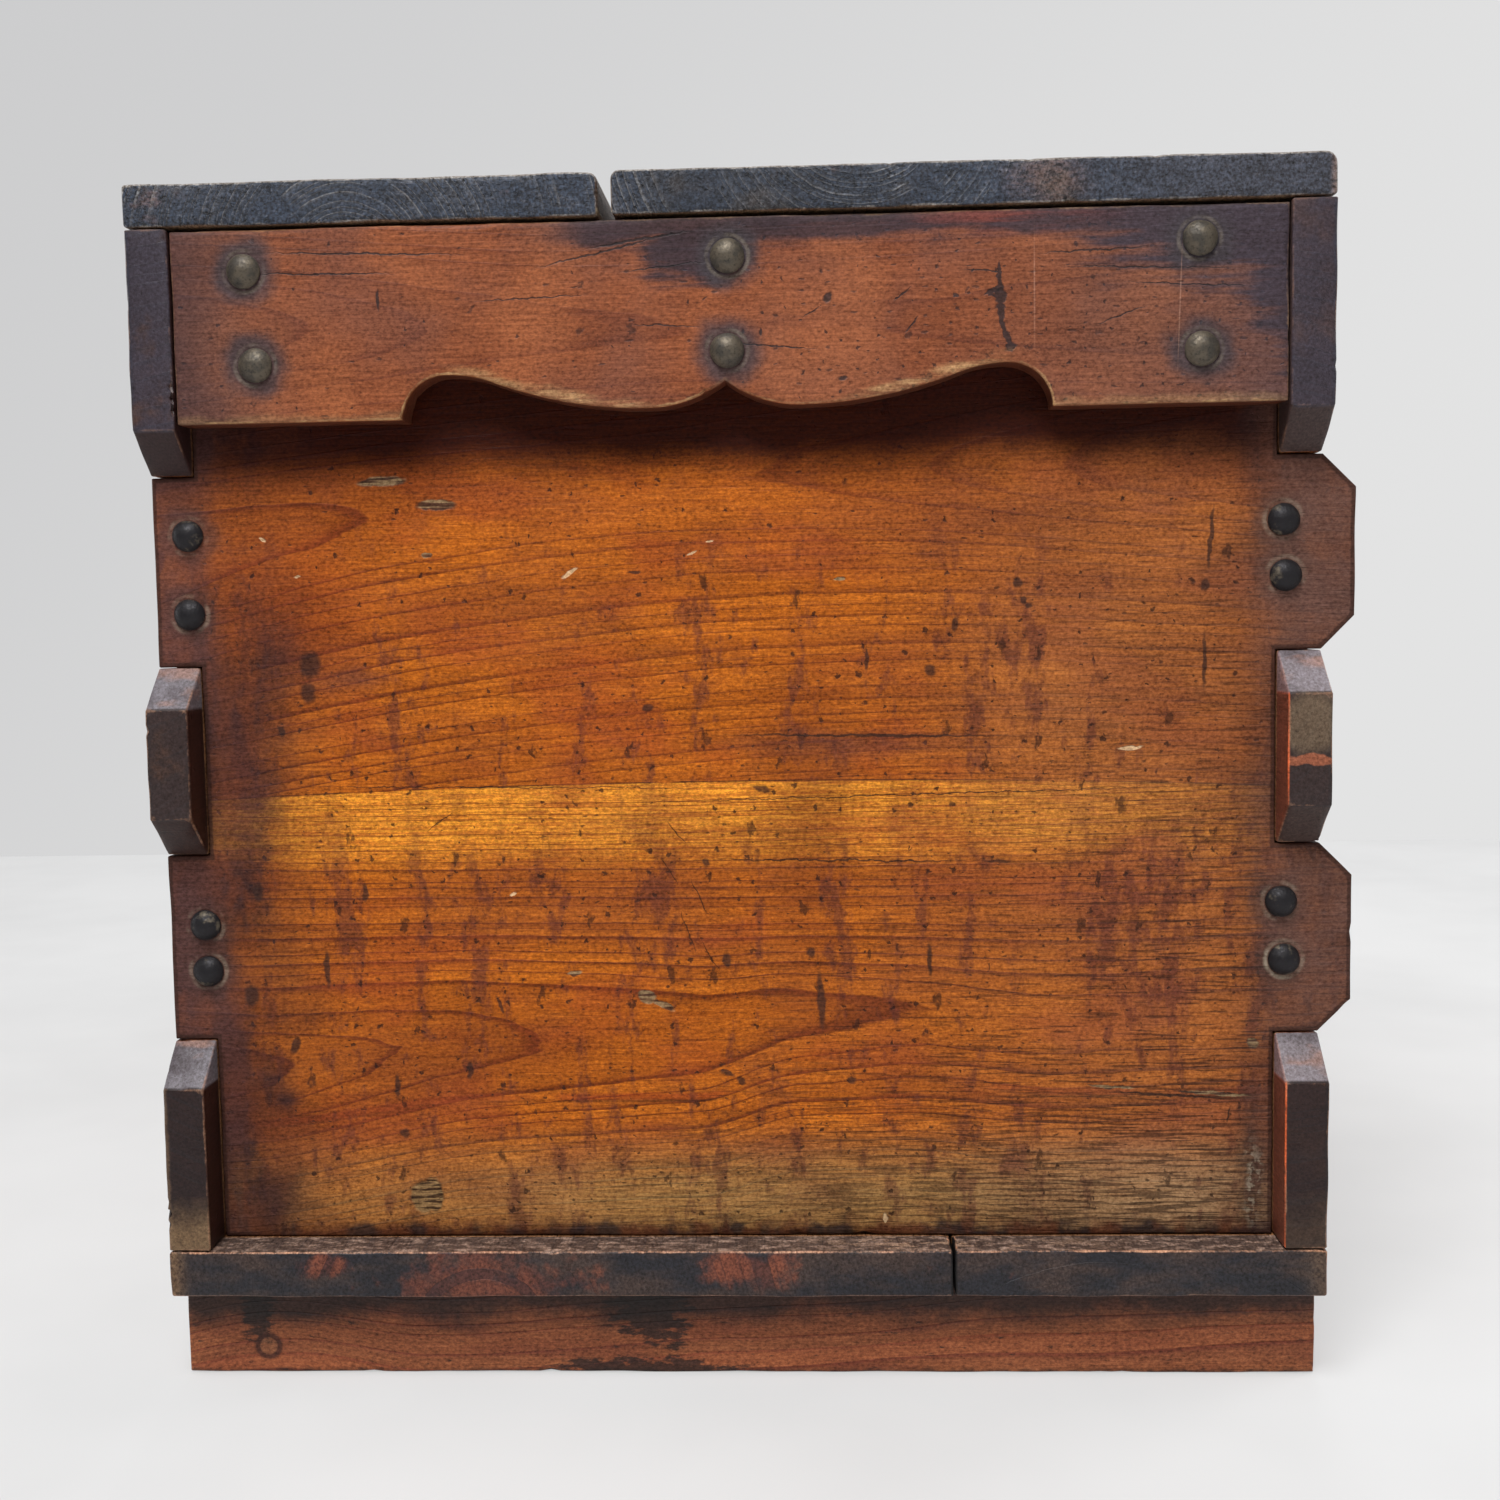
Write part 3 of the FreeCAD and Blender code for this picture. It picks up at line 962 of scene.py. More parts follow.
class TimberFinish(Graph):
    """Material of one timber, built up in coats over its growth rings."""

    def __init__(self, name: str) -> None:
        """Starts an empty material and reads the place in millimetres.

        Args:
            name: Name of the material.
        """
        self.material = bpy.data.materials.new(name)
        self.material.use_nodes = True
        self.material.node_tree.nodes.clear()
        super().__init__(self.material.node_tree)
        objects = self.add("TexCoord").outputs["Object"]
        self.place = self.vector("SCALE", objects, 1000.0)
        self.x, self.y, self.z = self.split(self.place)
        self.woven: Socket | None = None
        self.colour: Value = None

    def grain_place(self, grain: Grain) -> Socket:
        """The place as (along, across, deep) of a board."""
        return self.join(*((self.x, self.y, self.z)[i] for i in grain.value))

    def rings(self, place: Socket, trunk: Trunk) -> tuple[Socket, Socket, Socket]:
        """Latewood, ring tone and fibre of a board.

        Args:
            place: Place as (along, across, deep).
            trunk: Where the board lay in its trunk.

        Returns:
            The three masks.
        """
        self.woven = place
        node = self.use(ring_effect(), Place=place, Pith=(trunk.crest, trunk.across, trunk.deep),
                        Bow=(trunk.lean, trunk.bow_across, trunk.bow_deep), Spacing=trunk.spacing,
                        Wander=trunk.wander)
        return node.outputs["Late"], node.outputs["Tone"], node.outputs["Fibre"]

    def timber(self, tones: Tones, late: Socket, tone: Socket, fibre: Socket,
               depth: float = 0.85) -> None:
        """Lays bare wood: springwood to latewood, each ring a little lighter or darker."""
        self.colour = self.blend(tones.spring, tones.late, self.both(late, depth))
        self.tint(self.both(self.scaled(tone, 0.22, 0.87), self.step(fibre, 0.35, 0.65, 0.79, 1.15)),
                  1.25, 1.5)

    def tint(self, level: Socket, green: float, blue: float) -> None:
        """Multiplies the colour by a level, whose green and blue are raised to a power."""
        warm = self.join(level, self.math("POWER", level, green), self.math("POWER", level, blue))
        self.colour = self.blend(self.colour, warm, 1, "MULTIPLY")

    def coat(self, over: Value, *masks: Value) -> None:
        """Lays a colour over what is there, by the product of masks."""
        self.colour = self.blend(self.colour, over, self.both(*masks))

    def cloudy(self, scale: Value, detail: float = 2, rough: float = 0.5) -> Socket:
        """Grey noise at the piece's own place."""
        return self.noise(self.place, scale, detail, rough)

    def worn_edge(self, reach: float, broken: float) -> Socket:
        """Mask of worn arrises."""
        return self.use(worn_edge_effect(), Place=self.place, Reach=reach, Broken=broken).outputs[0]

    def specks(self, flat: Socket, cell: float, share: Value, size: float) -> Socket:
        """Mask of scattered specks on a face, with sizes in millimetres."""
        return self.use(speck_effect(), Place=flat, Cell=cell, Share=share, Size=size).outputs[0]

    def weathering(self, place: Socket, crowd: Value) -> tuple[Socket, Socket]:
        """Masks of upright smudges and of short dashes on a face, read at (along, up, deep)."""
        node = self.use(weathering_effect(), Place=place, Crowd=crowd)
        return node.outputs["Smudge"], node.outputs["Dashes"]

    def ragged(self, across: Socket, up: Socket, amount: float, size: float) -> Socket:
        """A face's (across, up) in millimetres, shaken by noise so that marks come out ragged."""
        shake = self.shake(self.place, 1 / size, 3, amount * 2)
        return self.vector("MULTIPLY", self.vector("ADD", self.join(across, up, 0), shake), (1, 1, 0))

    def marks(self, place: Socket, marks: Sequence[Mark], soft: float) -> Socket:
        """Mask of marks at a ragged place, each fading over the soft share of its radius."""
        return self.most(*(self.use(mark_effect(), Place=place, Middle=(mark.across, mark.up, 0),
                                    Half=(mark.half_wide, mark.half_high, 1),
                                    Lean=math.radians(-mark.lean), Soft=soft).outputs[0] for mark in marks))

    def nearest(self, flat: Socket, places: Places) -> Socket:
        """Distance in millimetres from a face's place to the nearest of some places on it."""
        return self.fold("MINIMUM", [self.vector("DISTANCE", flat, place + (0,)) for place in places])

    def finish(self, rough: Value, height: Value, relief: float,
               metallic: float = 0.0, sheen: float = 0.35, grit: Value = 2.3) -> Material:
        """Closes the material with its shader.

        Args:
            rough: Roughness.
            height: Height of the relief, 0 to 1.
            relief: Depth of the relief in metres.
            metallic: Metallic value.
            sheen: Specular level.
            grit: Strength of the timber's fine grit.

        Returns:
            The material.
        """
        if self.woven is not None:
            self.tint(self.use(weave_effect(), Place=self.woven, Grit=grit).outputs[0], 1.12, 1.2)
        bump = self.add("Bump", {"Height": height, "Distance": relief, "Strength": 1.0})
        shader = self.add("BsdfPrincipled", {"Base Color": self.colour, "Roughness": rough,
                                             "Metallic": metallic, "Specular IOR Level": sheen,
                                             "Normal": bump.outputs[0]})
        output = self.add("OutputMaterial")
        self.tree.links.new(shader.outputs[0], output.inputs[0])
        return self.material


# Finishes


@dataclass(frozen=True)
class EndPanelFinish:
    """Orange-brown end panel of two glued boards, stained at its borders and with painted shadow under the
    apron. Studs are (x, z) in mm.
    """

    side: Side
    studs: Places

    def build(self) -> Material:
        """Lays the finish's coats.

        Returns:
            The material.
        """
        t = TimberFinish(f"end_panel_{self.side.name.lower()}")
        across = t.both(t.x, -self.side.value)
        deep = t.minus(END_FACE, t.size(t.y))
        outer = t.step(deep, 2.5, 0.9)
        flat = t.join(across, t.z, 0)
        place = t.join(across, t.z, deep)
        swell = t.plus(t.step(across, -25, 20, 0, 9), t.step(across, 55, 130, 0, -8))
        swell = t.plus(swell, t.step(across, -220, -110, -11, 0))
        level = t.minus(t.z, t.both(swell, t.step(t.z, 205, 140)))
        lower = t.rings(t.join(across, level, deep), Trunk(150, 150.5, 43.7, 0.02, 0, -1.08, 3.6, 6))
        upper = t.rings(place, Trunk(-76, 374.2, 35.9, 0.1, -2.6, -2.5, 5.2, 8))
        glue = t.scaled(t.both(across, across), -0.0001, 253.2)
        high = t.step(t.minus(t.z, glue), -0.25, 0.25)
        late, tone, fibre = (t.add("Mix", {0: high, 2: low, 3: top}).outputs[0]
                             for low, top in zip(lower, upper))
        late = t.both(late, t.scaled(t.both(high, t.step(across, -150, -90)), -0.3, 1))
        coarse = t.ragged(across, t.z, 16, 60)
        middle = t.ragged(across, t.z, 5, 16)
        fine = t.ragged(across, t.z, 1.3, 4)
        orange = Tones((182, 97, 23), (92, 34, 14), (40, 24, 18), (150, 96, 64))
        t.timber(orange, late, tone, fibre, 0.8)
        # A wide red line runs across the lower board, with a dark lower edge
        vein = t.both(t.step(level, 118.4, 119.4), t.step(level, 122.6, 121))
        vein_edge = t.both(t.step(level, 117.5, 118.3), t.step(level, 119.4, 118.5))
        broken = t.step(t.cloudy(0.03), 0.34, 0.52)
        t.coat((142, 54, 24), vein, broken, 0.55)
        t.coat(orange.grime, vein_edge, broken, 0.5)
        joint = t.size(t.minus(t.z, glue))
        joint = t.both(t.step(joint, 0.8, 0.3), t.step(t.cloudy(0.03, 3), 0.36, 0.5))
        t.coat((60, 32, 20), joint, outer, 0.85)
        # The lower board's upper edge is the palest wood, and fades towards the front
        band = t.both(t.step(t.z, 212, 234), t.inverse(high), t.step(across, 235, 60, 0.4, 1))
        gold = t.blend((252, 168, 52), (206, 122, 40), t.step(fibre, 0.57, 0.42))
        t.coat(gold, band, t.step(late, 0.8, 0.1, 0.3, 0.7))
        # Redder wood towards the apron and the upper left, and in drifting patches
        red = t.most(t.both(t.step(t.z, 330, 400), 0.5), t.marks(coarse, [Mark(-200, 330, 75, 55)], 0.8))
        ruddy = t.stretched(t.vector("ADD", t.place, (30, 0, 9)), (0.014, 0.02, 0.03), 3)
        red = t.most(red, t.step(ruddy, 0.48, 0.64))
        t.coat((146, 62, 28), red, 0.5)
        # Broad darker and lighter areas of the panel
        dim = t.marks(coarse,
                      [Mark(-178, 378, 95, 46), Mark(22, 235, 30, 120), Mark(-208, 118, 42, 31),
                       Mark(-128, 140, 70, 26), Mark(-190, 320, 40, 40), Mark(110, 362, 80, 26)], 1)
        t.coat((98, 42, 22), dim, 0.5)
        t.coat((186, 116, 58), t.marks(coarse, [Mark(124, 285, 62, 80)], 1), 0.3)
        # Olive, weathered wood along the foot
        foot = t.both(t.step(t.z, 114, 76), t.step(across, -190, 30, 0.55, 1))
        t.coat(t.blend((152, 128, 80), (178, 152, 112), t.step(across, 60, 190)), foot, 0.68)
        cloud = t.stretched(t.place, (0.008, 0.008, 0.02), 3, 0.6)
        patches = t.noise(t.vector("ADD", t.place, (9, 0, 4)), 0.034, 3, 0.6)
        dark_cloud = t.most(t.step(cloud, 0.42, 0.7), t.both(t.step(patches, 0.5, 0.72), 0.8))
        t.coat((112, 56, 36), dark_cloud, 0.4)
        t.coat((112, 80, 58), t.step(across, 20, 190), 0.42)
        # Dull purple smudges hang in upright columns
        low_right = t.both(t.step(t.z, 150, 80), t.step(across, -120, 20))
        smudge, dashes = t.weathering(place, t.both(low_right, 0.062))
        smudge = t.both(smudge, t.step(t.z, 372, 320, 0.2, 1), t.inverse(t.both(band, 0.5)))
        t.coat((84, 42, 36), smudge, 0.6)
        slope = t.scaled(t.z, -0.8, across)
        dashes = t.both(dashes, t.step(slope, -220, 120, 0.25, 1))
        crowd = t.step(t.scaled(across, -0.1, t.z), 380, 250, 0.12, 0.4)
        herd = t.step(t.stretched(flat, (0.04, 0.03, 1), 3, 0.6), 0.42, 0.62, 0.4, 1.5)
        crowd = t.scaled(smudge, 0.5, t.both(crowd, herd))
        tall = t.vector("MULTIPLY", flat, (1, 0.55, 1))
        wide = t.vector("MULTIPLY", flat, (0.55, 1, 1))
        specks = t.most(t.specks(flat, 9, crowd, 1.1), t.both(t.specks(wide, 4, crowd, 0.5), 0.85),
                        t.both(t.specks(tall, 19, crowd, 2.1), 0.85))
        dirt = t.most(t.both(dashes, 0.8), t.both(specks, outer))
        t.coat(orange.grime, dirt, 0.82)
        # Borders: soot beside the fingers and along the floor, and under the apron a dark band that is part
        # soot and part painted shadow
        lobes = t.scaled(t.cloudy(0.09, 3), 16, t.both(t.cloudy(0.022, 3), 40))
        left = t.step(t.minus(across, lobes), -196, -244)
        left = t.both(left, t.step(t.z, 345, 300, 0.4, 1),
                      t.step(t.cloudy(0.05, 3), 0.36, 0.6, 0.76, 1))
        right = t.both(t.step(t.plus(across, lobes), 214, 252), 0.6)
        # Painted shadow under the apron, partly soot: dark red-brown fading down from the apron's edge
        under = t.step(t.scaled(t.cloudy(0.03, 2), 16, t.z), 378, 402)
        sill = t.step(t.scaled(t.cloudy(0.12, 3), -15, t.z), 61.5, 54.5)
        t.coat((40, 4, 0), under, outer, 0.96)
        soot = t.both(t.most(left, right, sill), 0.9)
        blue = t.step(t.stretched(t.place, (0.06, 0.06, 0.025), 3, 0.6), 0.42, 0.56)
        t.coat(t.blend((88, 47, 30), (40, 31, 33), blue), soot, outer)
        blots = [
            Mark(-182.6, 304.3, 6, 7.4), Mark(-183.8, 293, 4.4, 5.4), Mark(-195.8, 277, 2, 3.4, 20),
            Mark(110.7, 333.4, 2.4, 2.6), Mark(112.5, 326, 1.8, 2), Mark(115, 323.8, 2.6, 1.6),
            Mark(85, 316.4, 1.6, 4.2, -10), Mark(-46, 340.3, 3.4, 0.9), Mark(-194.8, 143.5, 2.2, 5, -20),
            Mark(40.5, 126.9, 2.4, 2.2), Mark(-11.8, 130.2, 4.6, 1.4, -18), Mark(-6, 127, 2.6, 2, -40),
            Mark(-107, 160, 1, 5.2, 22), Mark(-213, 165, 4, 6), Mark(188.5, 350, 1.1, 16, -4),
            Mark(186.4, 331, 2.4, 3), Mark(186, 300, 1.2, 14), Mark(24, 181, 2.6, 3),
            Mark(28, 161, 2.2, 16, 2), Mark(-180, 176, 1.8, 10), Mark(-11, 178, 2.6, 4),
            Mark(48.5, 302.7, 1, 6), Mark(74.7, 298.1, 3, 3.2), Mark(-41.8, 284.3, 3, 2),
            Mark(4.8, 250, 5, 1.8, -20), Mark(-18.9, 219.8, 1.8, 2.4), Mark(-162.8, 208.3, 1.6, 5),
            Mark(-149.3, 105.1, 3, 2.6), Mark(-151.7, 125, 1.8, 7), Mark(-120.7, 132, 2, 5),
            Mark(102, 218.8, 7, 1.1), Mark(-208.3, 209.2, 3, 5)]
        t.coat((46, 32, 28), t.marks(fine, blots, 0.5), outer, 0.8)
        haze = t.marks(middle,
                       [Mark(42, 268, 88, 9, -1), Mark(-222, 130, 12, 60), Mark(-165, 298, 26, 8),
                        Mark(-214, 258, 19, 58)], 1)
        t.coat((86, 48, 40), haze, 0.62)
        corner = t.marks(middle, [Mark(-207, 75, 18, 23), Mark(-200, 119, 11, 9)], 1)
        t.coat((50, 32, 32), corner, outer, 0.85)
        streaks = [
            Mark(73.5, 177.6, 1.3, 10, 1), Mark(48, 271.6, 76, 0.7, -1), Mark(56, 271.3, 22, 1.1, -1),
            Mark(37, 219.8, 75, 0.5, -1), Mark(196.9, 111.1, 0.6, 4.6, -14), Mark(60, 246.8, 150, 0.35, 1),
            Mark(-100, 252, 120, 0.3, -1), Mark(172, 119.6, 36, 0.7, -4)]
        t.coat((44, 30, 24), t.marks(fine, streaks, 0.6), outer, 0.85)
        # Splits, chips, nicks and cuts
        chips = [
            Mark(-150.1, 379.2, 12, 2.4, 1), Mark(-127.5, 369.3, 9.8, 2.8, -1), Mark(38, 336, 2.6, 0.9),
            Mark(-45, 163, 4.4, 3.2, -25), Mark(-38, 159.5, 6, 1.6, -27), Mark(-75, 173.4, 4, 1.2, 8),
            Mark(-132, 349, 3, 1.4), Mark(206.5, 141.5, 3, 2.8, 30), Mark(190, 120.3, 17, 1, -4),
            Mark(148, 123.3, 11, 0.8, -4)]
        chip_mask = t.both(t.marks(fine, chips, 0.3), outer)
        slits = t.step(t.stretched(place, (0.06, 0.75, 1), 2), 0.42, 0.56)
        t.coat(t.blend((52, 43, 36), (140, 118, 86), slits), chip_mask, 0.85)
        rough_patch = t.both(t.marks(fine, [Mark(-142.5, 77, 5.4, 8, 6), Mark(-138, 78, 5, 8.4, 4)], 0.25),
                             outer)
        ridges = t.step(t.stretched(place, (0.1, 1, 1), 3, 0.6), 0.4, 0.58)
        t.coat(t.blend((28, 20, 16), (142, 112, 74), ridges), rough_patch, 0.9)
        chip_mask = t.most(chip_mask, rough_patch)
        nicks = [
            Mark(-72.8, 340.4, 4.6, 1.3, 32), Mark(-200.7, 356.4, 1.8, 0.9, -40),
            Mark(-186.6, 340.9, 1.6, 0.5, 5), Mark(156.1, 264.9, 6, 0.9, 4), Mark(53.8, 67.6, 1.1, 2.2),
            Mark(-100, 207, 1.8, 0.8, 20), Mark(-22, 347.5, 2.6, 0.6, 22), Mark(-15, 352.5, 2, 0.5, 10)]
        nick_mask = t.both(t.marks(fine, nicks, 0.4), outer)
        t.coat((214, 180, 138), nick_mask, 0.75)
        cuts = [
            Mark(-31, 232, 0.35, 7.5, 38), Mark(-34, 216, 0.3, 8, 32), Mark(-22, 205, 0.35, 10, 22),
            Mark(-27, 190, 0.3, 12, 18), Mark(-18, 180, 0.3, 9, 30), Mark(-130, 238, 0.3, 9, -55)]
        cut_mask = t.both(t.marks(fine, cuts, 0.5), outer)
        t.coat((64, 38, 26), cut_mask, 0.8)
        t.coat((62, 50, 42), t.marks(middle, [Mark(206, 92, 9, 46)], 0.9), outer, 0.55)
        t.coat((158, 146, 126), t.marks(middle, [Mark(207, 82, 5, 24)], 0.6),
               t.step(t.cloudy(0.3, 4), 0.48, 0.56), outer, 0.6)
        t.coat((58, 46, 42), t.step(t.nearest(middle, self.studs), 15, 9), outer, 0.55)
        # Fingers carry more soot, and the inner face was never finished
        reach = t.size(t.plus(t.x, -MIDDLE))
        finger = t.step(t.scaled(cloud, 16, reach), 212, 240)
        t.coat(t.blend((88, 58, 54), (99, 70, 61), t.step(across, -100, 100)), finger,
               t.step(patches, 0.4, 0.62, 0.86, 0.6))
        from_exact = t.nearest(flat, self.studs)
        ring = t.both(t.step(from_exact, 6.4, 7.2), t.step(from_exact, 9.2, 7.8), outer)
        ring = t.both(ring, t.step(t.cloudy(0.1, 3), 0.4, 0.6))
        plain = t.step(t.vector("DISTANCE", flat, (209, 165, 0)), 12, 18, 0.75, 0.3)
        t.coat((150, 138, 120), ring, plain)
        # The cut sides are dark with dirt
        t.coat((44, 29, 25), t.step(deep, 0.8, 1.6), t.step(deep, 17.6, 16.8), 0.85)
        t.coat((148, 112, 78), t.step(deep, 15.5, 17), 0.55)
        # Darker arrises beside the fingers: soot and painted shade where the panel meets the fingers
        t.coat((58, 37, 31), t.worn_edge(1, 0.3), t.step(reach, 200, 212), 0.75)
        t.coat(orange.worn, t.worn_edge(0.22, 0.9), 0.25)
        rough = t.scaled(t.most(soot, foot), 0.15, 0.5)
        pits = t.most(t.both(specks, 0.6), chip_mask, nick_mask, cut_mask, t.both(dashes, 0.5))
        relief = t.scaled(late, 0.18, t.both(fibre, 0.3))
        relief = t.minus(t.plus(relief, 0.45), t.both(pits, 0.45))
        return t.finish(rough, relief, 0.0007, 0, 0.12, t.step(reach, 200, 225, 2.5, 2))


@dataclass(frozen=True)
class ApronFinish:
    """Red-brown apron with an ink-dark stain along its top and a pale, worn lower arris."""

    side: Side
    studs: Places

    def build(self) -> Material:
        """Lays the finish's coats.

        Returns:
            The material.
        """
        t = TimberFinish(f"apron_{self.side.name.lower()}")
        across = t.both(t.x, -self.side.value)
        deep = t.minus(APRON_FACE, t.size(t.y))
        outer = t.step(deep, 3, 1.2)
        flat = t.join(across, t.z, 0)
        place = t.join(across, t.z, deep)
        late, tone, fibre = t.rings(place, Trunk(20, 438, 34, 0, 0, -2.3, 5.2, 9))
        tones = Tones((134, 74, 44), (86, 40, 28), (40, 28, 28), (190, 150, 104))
        t.timber(tones, late, tone, fibre, 0.5)
        middle = t.ragged(across, t.z, 5, 14)
        fine = t.ragged(across, t.z, 1.2, 4)
        cloud = t.step(t.cloudy(0.014, 3, 0.6), 0.4, 0.68)
        t.coat((108, 68, 56), cloud, 0.55)
        t.coat((164, 96, 58),
               t.step(t.noise(t.vector("ADD", t.place, (70, 0, 30)), 0.02, 3), 0.48, 0.66), 0.4)
        dull = t.most(t.step(across, 60, 200), t.both(t.step(across, -160, -225), 0.8))
        t.coat((92, 72, 66), dull, 0.5)
        crowd = t.step(across, -60, 100, 0.14, 0.6)
        wide = t.vector("MULTIPLY", flat, (0.4, 1, 1))
        specks = t.most(t.specks(flat, 7.5, crowd, 0.8), t.both(t.specks(flat, 22, crowd, 1.8), 0.7),
                        t.both(t.specks(wide, 4.5, crowd, 0.5), 0.8))
        t.coat(tones.grime, specks, outer, 0.8)
        # Ink-dark stain, feathered along the grain
        feather = t.stretched(place, (0.018, 0.2, 0.2), 4, 0.65)
        spread = t.scaled(feather, 1, -0.5)
        field = t.marks(middle,
                        [Mark(70, 489, 300, 34), Mark(-18, 466, 44, 24), Mark(190, 487, 130, 66),
                         Mark(232, 470, 66, 136)], 1)
        ink = t.step(t.plus(field, spread), 0.24, 0.66)
        brim = t.step(t.scaled(t.stretched(t.place, (0.03, 0.1, 0.1), 3), 16, t.z), 475, 481)
        ink = t.most(ink, t.both(brim, t.step(across, -92, -60), 0.95))
        ends = t.most(t.both(t.step(across, -190, -228), 0.9), t.both(t.step(across, 170, 214), 0.75))
        dark = t.most(t.both(ink, 0.92), t.both(ends, 0.66))
        t.coat(t.blend((42, 37, 45), (54, 49, 58), t.step(across, 60, 150)), dark, outer)
        flush = t.both(t.marks(middle, [Mark(104, 476, 56, 10)], 0.9), t.step(feather, 0.42, 0.6))
        t.coat((118, 58, 46), flush, 0.7)
        t.coat((60, 54, 58), t.step(t.nearest(middle, self.studs), 17, 9), outer, 0.85)
        from_exact = t.nearest(flat, self.studs)
        ring = t.both(t.step(from_exact, 7.2, 8), t.step(from_exact, 9.6, 8.4), outer)
        t.coat((112, 102, 90), ring, t.step(t.cloudy(0.1), 0.36, 0.66), 0.55)
        crack = [
            Mark(102.2, 452, 1.2, 8.4, 0), Mark(102.3, 446, 2.7, 5, 0), Mark(99.8, 447.6, 4.6, 1.2, 25),
            Mark(100.2, 445.2, 4.4, 1.1, -24), Mark(102.6, 439, 2, 5.8, 4), Mark(103.4, 434, 1.6, 5.4, 16),
            Mark(105, 429.4, 1.5, 5.2, 24), Mark(106.2, 425.8, 2.6, 2.2, 10)]
        steady = t.ragged(across, t.z, 1.7, 2.4)
        crack_line = t.marks(steady, crack, 0.35)
        marks = [
            Mark(34.8, 446.5, 1.8, 3, -30), Mark(85, 446, 1.6, 0.9), Mark(7.7, 433.5, 0.8, 2),
            Mark(67.7, 434.8, 0.5, 5, -40), Mark(-144.8, 449.7, 0.9, 5), Mark(40, 415, 2.4, 1.2),
            Mark(-30, 437, 16, 0.35, -3), Mark(12, 428, 22, 0.4, -6), Mark(140, 462, 26, 0.4, 2),
            Mark(-150, 468, 44, 0.5, -2), Mark(-168, 460.5, 34, 0.4, -1), Mark(-56, 466, 30, 0.5, 12),
            Mark(-40, 470.5, 24, 0.6, 8), Mark(-30, 460, 20, 0.35, 5), Mark(-84, 449, 26, 0.35, 2),
            Mark(160, 455, 40, 0.4, -2), Mark(176, 448, 30, 0.35, -3), Mark(150, 437, 12, 0.35, 20),
            Mark(64, 447, 0.4, 5, -50), Mark(96, 455, 9, 0.35, -6), Mark(28, 441, 5, 0.35, 30)]
        crack_mask = t.both(t.most(crack_line, t.marks(fine, marks, 0.5)), outer)
        t.coat((38, 34, 36), crack_mask, 0.85)
        scores = t.marks(flat, [Mark(115.8, 447, 0.45, 30, 0), Mark(172.5, 440, 0.4, 30, -2)], 0.8)
        t.coat((196, 150, 128), scores, outer, 0.3)
        # The lower arris is worn to pale wood, most beside the bellies
        low = t.step(t.scaled(t.cloudy(0.06, 3), -9, t.z), 402.5, 398.5)
        belly = t.marks(fine,
                        [Mark(-98, 416, 26, 5, -17), Mark(-70, 410, 26, 4.5, -13),
                         Mark(-44, 406, 18, 4, -6), Mark(90, 419, 26, 4, 13), Mark(60, 411, 26, 3, 11)],
                        0.9)
        slits = t.step(t.stretched(place, (0.05, 0.7, 1), 3, 0.6), 0.4, 0.56, 0.35, 1)
        belly = t.both(belly, t.step(feather, 0.36, 0.58), slits)
        worn = t.worn_edge(0.5, 1.2)
        frayed = t.step(t.cloudy(0.05, 4, 0.65), 0.44, 0.6, 0.15, 1)
        pale = t.most(t.both(low, outer, 0.22), t.both(belly, 0.78),
                      t.both(worn, frayed, t.step(t.z, 440, 425, 0.2, 0.7)))
        t.coat(tones.worn, pale)
        t.coat((46, 32, 30), t.inverse(outer), t.step(deep, 14.6, 13.6), 0.8)
        t.coat((88, 44, 26), t.inverse(outer), t.step(t.z, 428, 420), 0.8)
        rough = t.scaled(dark, 0.08, 0.5)
        relief = t.scaled(late, 0.06, t.both(fibre, 0.3))
        relief = t.minus(t.plus(relief, 0.4), t.both(t.most(crack_mask, t.both(specks, 0.5)), 0.4))
        return t.finish(rough, relief, 0.0006, 0, 0.18)


